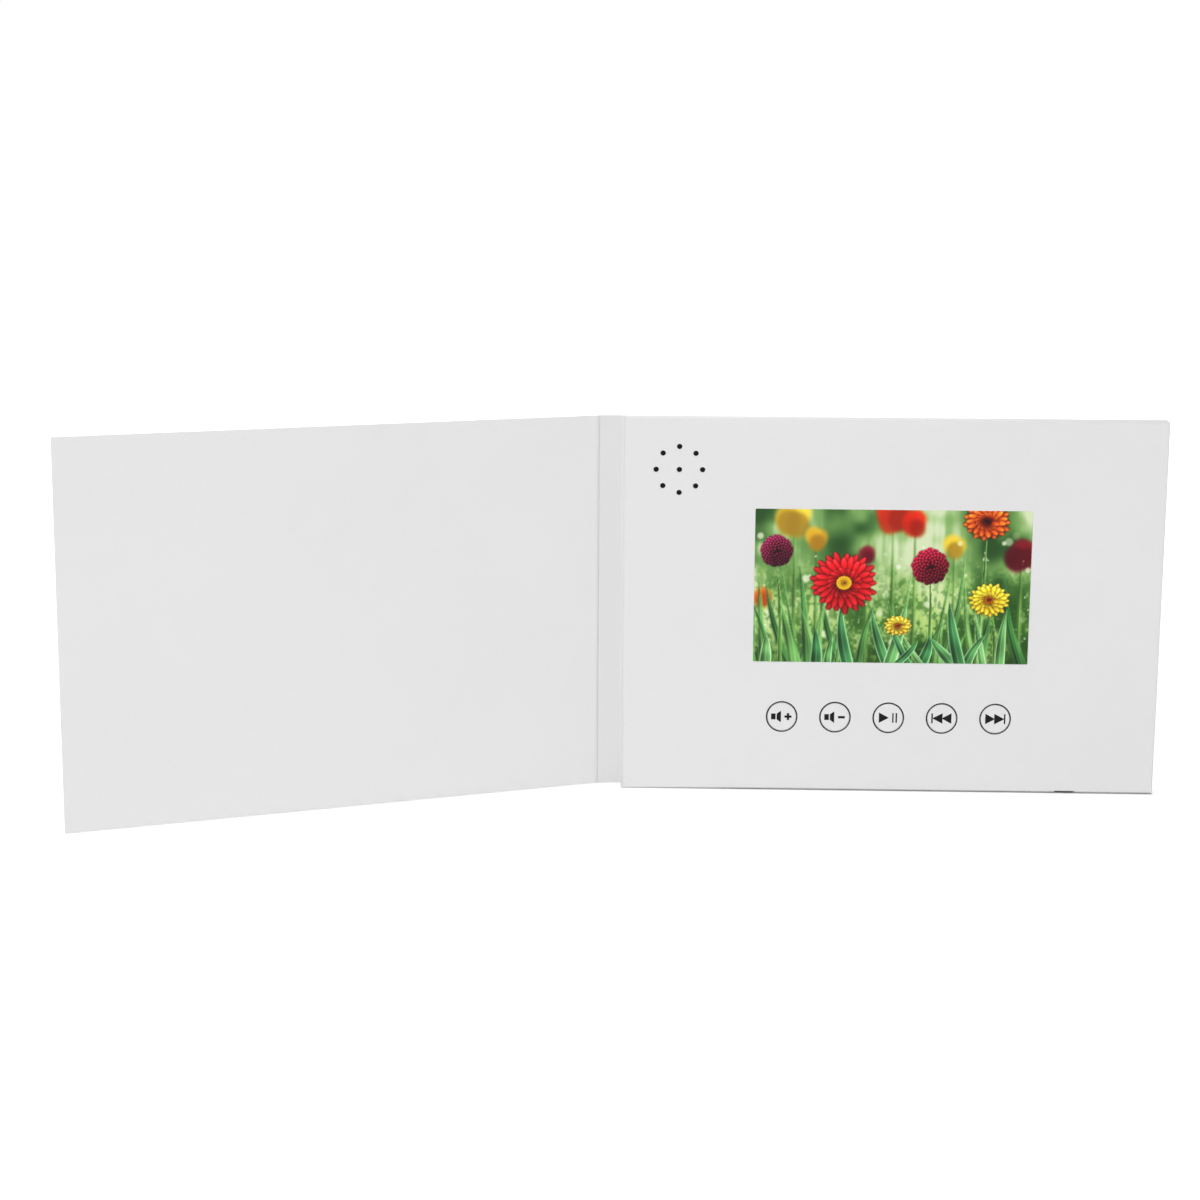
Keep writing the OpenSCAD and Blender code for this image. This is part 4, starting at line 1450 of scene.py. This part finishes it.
    def far_flower(self, centre: Pair, radius: float, colour: Colour, soft: float = 0.022) -> None:
        """Flower out of focus: five soft lobes of uneven brightness.

        Args:
            centre: x and y of its middle.
            radius: to its rim.
            colour: of the lobes.
            soft: how blurred its edges are.
        """
        for k in range(5):
            a = k * math.tau / 5 + self.rng.random()
            x = centre[0] + 0.4 * radius * math.cos(a)
            y = centre[1] + 0.4 * radius * math.sin(a)
            where = self.around(x, y, radius + 2 * soft)
            far = np.hypot(self.x[where] - x, (self.y[where] - y) * 0.9)
            level = 0.72 + 0.22 * self.rng.random() + 0.16 * math.sin(a)
            alpha = 0.85 * smooth(far, 0.62 * radius + soft, 0.62 * radius - soft)
            self.lay(np.array(colour) * level, alpha, where)

    def paint(self) -> Rows:
        """Paints the picture.

        Returns:
            Colours as displayed, red, green and blue from 0 to 1, in rows from the bottom.
        """
        self.greenery()
        for centre, radius, colour in (
                ((0.26, 0.93), 0.12, (0.98, 0.8, 0.3)), ((0.40, 0.80), 0.07, (0.93, 0.72, 0.25)),
                ((0.88, 0.95), 0.11, (0.93, 0.3, 0.12)), ((1.02, 0.90), 0.08, (0.9, 0.24, 0.1)),
                ((1.27, 0.76), 0.07, (0.96, 0.8, 0.3)), ((1.69, 0.70), 0.10, (0.55, 0.13, 0.2)),
                ((0.06, 0.42), 0.06, (0.95, 0.45, 0.15)), ((0.72, 0.70), 0.05, (0.6, 0.16, 0.25))):
            self.blade(centre[0], centre, 0.02, 0.012, (0.42, 0.56, 0.32), 0.014)
            self.far_flower(centre, radius, colour)
        self.glints(70)
        self.tuft(34, 0.3, (0.2, 0.5), 0.2, (0.008, 0.02), (0.24, 0.42, 0.24), (0.26, 0.24, 0.16), 0.011)
        for cx, cy, lean in ((1.12, 0.60, 0.0), (1.50, 0.42, 0.05), (0.58, 0.50, -0.04), (0.15, 0.66, 0.03),
                             (0.93, 0.24, 0.02), (1.47, 0.88, -0.05)):
            self.blade(cx + lean, (cx, cy), 0.05, 0.013, (0.38, 0.52, 0.28), 0.004)
        self.tuft(15, 0.34, (0.12, 0.3), 0.18, (0.02, 0.03), (0.26, 0.46, 0.3), (0.22, 0.2, 0.12), 0.0035)
        self.pompon((0.15, 0.72), 0.1, (0.5, 0.12, 0.27), 0.005)
        self.pompon((1.12, 0.63), 0.115, (0.56, 0.08, 0.2), 0.003)
        self.gerbera((1.47, 0.92), 0.15, 15, (0.98, 0.42, 0.12), (0.35, 0.12, 0.06), 0.8, 0.005)
        self.gerbera((1.50, 0.42), 0.13, 17, (1.0, 0.84, 0.22), (0.62, 0.36, 0.08), 0.85, 0.003)
        self.gerbera((0.93, 0.25), 0.09, 13, (1.0, 0.82, 0.28), (0.58, 0.32, 0.08), 0.75, 0.003)
        self.gerbera((0.58, 0.52), 0.22, 21, (0.82, 0.09, 0.12), (0.88, 0.66, 0.18), 0.9, 0.0025)
        return smooth(self.image, 0.02, 0.98) * 0.65 + self.image * 0.35


@dataclass
class Screen:
    """Display behind the panel's window: the dark film and the lit picture on it."""

    casing: Casing
    film: Sides = (45.25, 164.75, 46.9, 117.5)
    film_r: float = 0.4
    film_d: float = 0.3
    film_t: float = 0.2
    film_ease: Pair = (0.03, 0.03)
    picture_t: float = 0.03
    overlap: float = 0.7
    cells: tuple[int, int] = (396, 226)

    def make_picture(self) -> None:
        """Lit picture: a fine grid that carries its colours, closed by four sides and a fan behind."""
        u0, u1, v0, v1 = self.casing.window
        columns, rows = self.cells[0] + 1, self.cells[1] + 1
        u, v = np.meshgrid(np.linspace(u0 - self.overlap, u1 + self.overlap, columns),
                           np.linspace(v0 - self.overlap, v1 + self.overlap, rows))
        front = np.stack([u, np.full_like(u, self.film_d - self.picture_t), v], axis=-1).reshape(-1, 3)
        index = np.arange(rows * columns).reshape(rows, columns)
        rim = np.concatenate([index[0, :-1], index[:-1, -1], index[-1, :0:-1], index[:0:-1, 0]])
        behind = [0.0, self.picture_t, 0.0]
        points = np.concatenate([front, front[rim] + behind, [front.mean(axis=0) + behind]])
        here = np.arange(len(rim)) + len(front)
        ahead = np.roll(here, -1)
        sides = np.stack([rim, np.roll(rim, -1), ahead, here], axis=1)
        fan = np.stack([np.full(len(rim), len(points) - 1), here, ahead], axis=1)
        piece = build_piece("screen_picture", SIZES.block_plane.put(points),
                            [grid_faces(rows, columns, False), sides, fan])
        self.colour(piece, GardenPicture(columns, rows, (u1 - u0) / (v1 - v0)).paint().reshape(-1, 3))
        settle(piece, SCREEN, Body.BLOCK, "screen_film")

    @staticmethod
    def colour(piece: bpy.types.Object, shown: Rows) -> None:
        """Writes the picture into the mesh's colour attribute, as linear light.

        Args:
            piece: the object, with the picture's places as its first vertices.
            shown: colours as displayed, one row for each place.
        """
        linear = np.where(shown <= 0.04045, shown / 12.92, ((shown + 0.055) / 1.055) ** 2.4)
        values = np.zeros((len(piece.data.vertices), 4), np.float32)
        values[:, 3] = 1.0
        values[:len(linear), :3] = linear
        attribute = piece.data.color_attributes.new(SCREEN.attribute, "FLOAT_COLOR", "POINT")
        attribute.data.foreach_set("color", values.ravel())

    def make(self) -> None:
        """Makes the film and the picture."""
        film = plate("screen_film_sheet", [rounded(*self.film, self.film_r)], [], self.film_d, self.film_t,
                     self.film_ease)
        settle(film, SLOT_FINISHES["screen_film"], Body.BLOCK, "screen_film", "lcd_polariser")
        self.make_picture()


@dataclass
class Electronics:
    """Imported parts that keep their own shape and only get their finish."""

    nodes: dict
    record: dict
    shell: str = "usb_shell"

    def dress(self) -> None:
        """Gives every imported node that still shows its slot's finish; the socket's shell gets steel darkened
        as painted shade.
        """
        slots = {row["node"]: row["material_slot"] for row in self.record["subparts"]}
        for name, piece in sorted(self.nodes.items()):
            # Painted shade: the socket's shell gets darkened steel instead of its slot's steel.
            finish_piece(piece, STEEL_PAINTED_SHADE if name == self.shell else SLOT_FINISHES[slots[name]])
            if not piece.hide_render:
                LOG.info("%s: packed shape, slot %s", name, slots[name])


@dataclass(frozen=True)
class Lamp:
    """Soft lamp: its place, the point that it looks at and its face's size in metres, and its watts."""

    name: str
    place: Triple
    aim: Triple
    size: Pair
    power: float


@dataclass
class Studio:
    """Camera, floor, soft lamps and the pale surroundings."""

    focal: float = 2478.314
    image: float = 1200.0
    sensor: float = 36.0
    tilt: Triple = (11.242, 1.382, 0.367)
    offset: Triple = (113.649, 74.993, 987.819)
    clip: Pair = (0.05, 50.0)
    surround: float = 0.38
    floor_size: float = 12.0
    floor_level: float = 0.88
    # Width of the margin round the block's footprint that gets no glow, a painted contact shadow, in
    # millimetres.
    painted_shadow_margin: float = 0.3
    near_glow: Pair = (0.25, 0.35)
    far_glow: Pair = (1.3, 0.8)
    lamps: tuple[Lamp, ...] = (
        Lamp("overhead_lamp", (-0.1, -0.2, 1.5), (-0.1, -0.1, 0.0), (1.4, 1.4), 9.0),
        Lamp("front_lamp", (-0.25, -2.4, 0.3), (-0.12, 0.0, 0.05), (0.3, 0.9), 23.5),
        Lamp("back_lamp", (-0.1, 1.4, 0.5), (-0.1, 0.0, 0.05), (0.8, 0.8), 6.5))

    def make_camera(self) -> None:
        """Camera at the photograph's viewpoint.

        Its picture coordinates are q = Rz Rx Ry A p + offset, with A turning +Z down and +Y forward.
        """
        rx, ry, rz = (Matrix.Rotation(math.radians(a), 3, axis) for a, axis in zip(self.tilt, "XYZ"))
        down = Matrix(((1.0, 0.0, 0.0), (0.0, 0.0, -1.0), (0.0, 1.0, 0.0)))
        turn = rz @ rx @ ry @ down
        data = bpy.data.cameras.new("photograph_camera")
        data.sensor_width = self.sensor
        data.lens = self.focal / self.image * self.sensor
        data.clip_start, data.clip_end = self.clip
        camera = bpy.data.objects.new("photograph_camera", data)
        camera.location = -(turn.transposed() @ Vector(self.offset)) * MM
        camera.rotation_mode = "QUATERNION"
        camera.rotation_quaternion = (turn.transposed() @ Matrix.Diagonal((1.0, -1.0, -1.0))).to_quaternion()
        bpy.context.scene.collection.objects.link(camera)
        bpy.context.scene.camera = camera

    def make_floor(self) -> None:
        """Pale floor that looks white beyond the object's shadow.

        Its glow is seen but lights nothing. It grows with the distance from the object, as the lamps'
        light falls, and there is none under the block, which never moves, nor in a thin margin round it,
        so that the footprint and its margin show a painted contact shadow.
        """
        half = self.floor_size / 2
        mesh = bpy.data.meshes.new("studio_floor")
        mesh.from_pydata([(-half, -half, 0.0), (half, -half, 0.0), (half, half, 0.0), (-half, half, 0.0)], [],
                         [(0, 1, 2, 3)])
        floor = bpy.data.objects.new("studio_floor", mesh)
        bpy.context.scene.collection.objects.link(floor)
        made = bpy.data.materials.new("studio_floor")
        graph = Graph.empty(made)
        where = graph.add("ShaderNodeTexCoord").outputs["Object"]
        reach = graph.add("ShaderNodeVectorMath", {0: where}, operation="LENGTH").outputs["Value"]
        level = graph.spread(reach, self.near_glow[0], self.far_glow[0], self.near_glow[1], self.far_glow[1])
        # Painted shadow: the glow is left out over the block's footprint and a thin margin round it.
        beyond = [graph.math("GREATER_THAN", graph.math("ABSOLUTE", graph.axis(where, axis)),
                             (size / 2 + self.painted_shadow_margin) * MM)
                  for axis, size in (("X", SIZES.block_w), ("Y", SIZES.block_t))]
        shown = graph.math("MULTIPLY", level, graph.math("MAXIMUM", *beyond))
        surface = graph.add("ShaderNodeBsdfDiffuse", {"Color": (*[self.floor_level] * 3, 1.0)})
        glow = graph.add("ShaderNodeEmission", {"Color": (1.0, 1.0, 1.0, 1.0),
                                                "Strength": graph.math("MULTIPLY", self.seen(graph), shown)})
        both = graph.add("ShaderNodeAddShader", {0: surface.outputs[0], 1: glow.outputs[0]})
        graph.add("ShaderNodeOutputMaterial", {"Surface": both.outputs[0]})
        mesh.materials.append(made)

    @staticmethod
    def seen(graph: Graph) -> Value:
        """1 for rays from the camera, in reflections and through clear parts.

        Args:
            graph: graph of the material or the world.

        Returns:
            The socket.
        """
        path = graph.add("ShaderNodeLightPath").outputs
        first = graph.math("MAXIMUM", path["Is Camera Ray"], path["Is Glossy Ray"])
        return graph.math("MAXIMUM", first, path["Is Transmission Ray"])

    def make_world(self) -> None:
        """Even surroundings: white where they are seen, and a plain level where they light."""
        world = bpy.data.worlds.new("studio_world")
        graph = Graph.empty(world)
        strength = graph.spread(self.seen(graph), 0.0, 1.0, self.surround, 1.0)
        sky = graph.add("ShaderNodeBackground", {"Color": (1.0, 1.0, 1.0, 1.0), "Strength": strength})
        graph.add("ShaderNodeOutputWorld", {"Surface": sky.outputs[0]})
        bpy.context.scene.world = world

    def make_lamps(self) -> None:
        """Soft lamps, which the camera doesn't see."""
        for lamp in self.lamps:
            data = bpy.data.lights.new(lamp.name, "AREA")
            data.shape = "RECTANGLE"
            data.size, data.size_y = lamp.size
            data.energy = lamp.power
            stand = bpy.data.objects.new(lamp.name, data)
            stand.location = lamp.place
            stand.rotation_mode = "QUATERNION"
            stand.rotation_quaternion = (Vector(lamp.aim) - Vector(lamp.place)).to_track_quat("-Z", "Y")
            stand.visible_camera = False
            bpy.context.scene.collection.objects.link(stand)

    def make(self) -> None:
        """Sets the camera, floor, surroundings, lamps and view settings."""
        self.make_camera()
        self.make_floor()
        self.make_world()
        self.make_lamps()
        bpy.context.scene.view_settings.view_transform = "Standard"


def corners(box: tuple[Vector, Vector]) -> list[list[float]]:
    """Lowest and highest corner as plain lists."""
    return [[float(x) for x in corner] for corner in box]


def main() -> None:
    """Builds the studio and every sub-assembly in order."""
    logging.basicConfig(level=logging.INFO, format="%(message)s")
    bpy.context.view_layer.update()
    Studio().make()
    casing = Casing()
    casing.make()
    FoldedCover().make()
    Screen(casing).make()
    Keys(casing).make()
    Electronics(frame["nodes"], frame["record"]).dress()


if __name__ == "__main__":
    main()
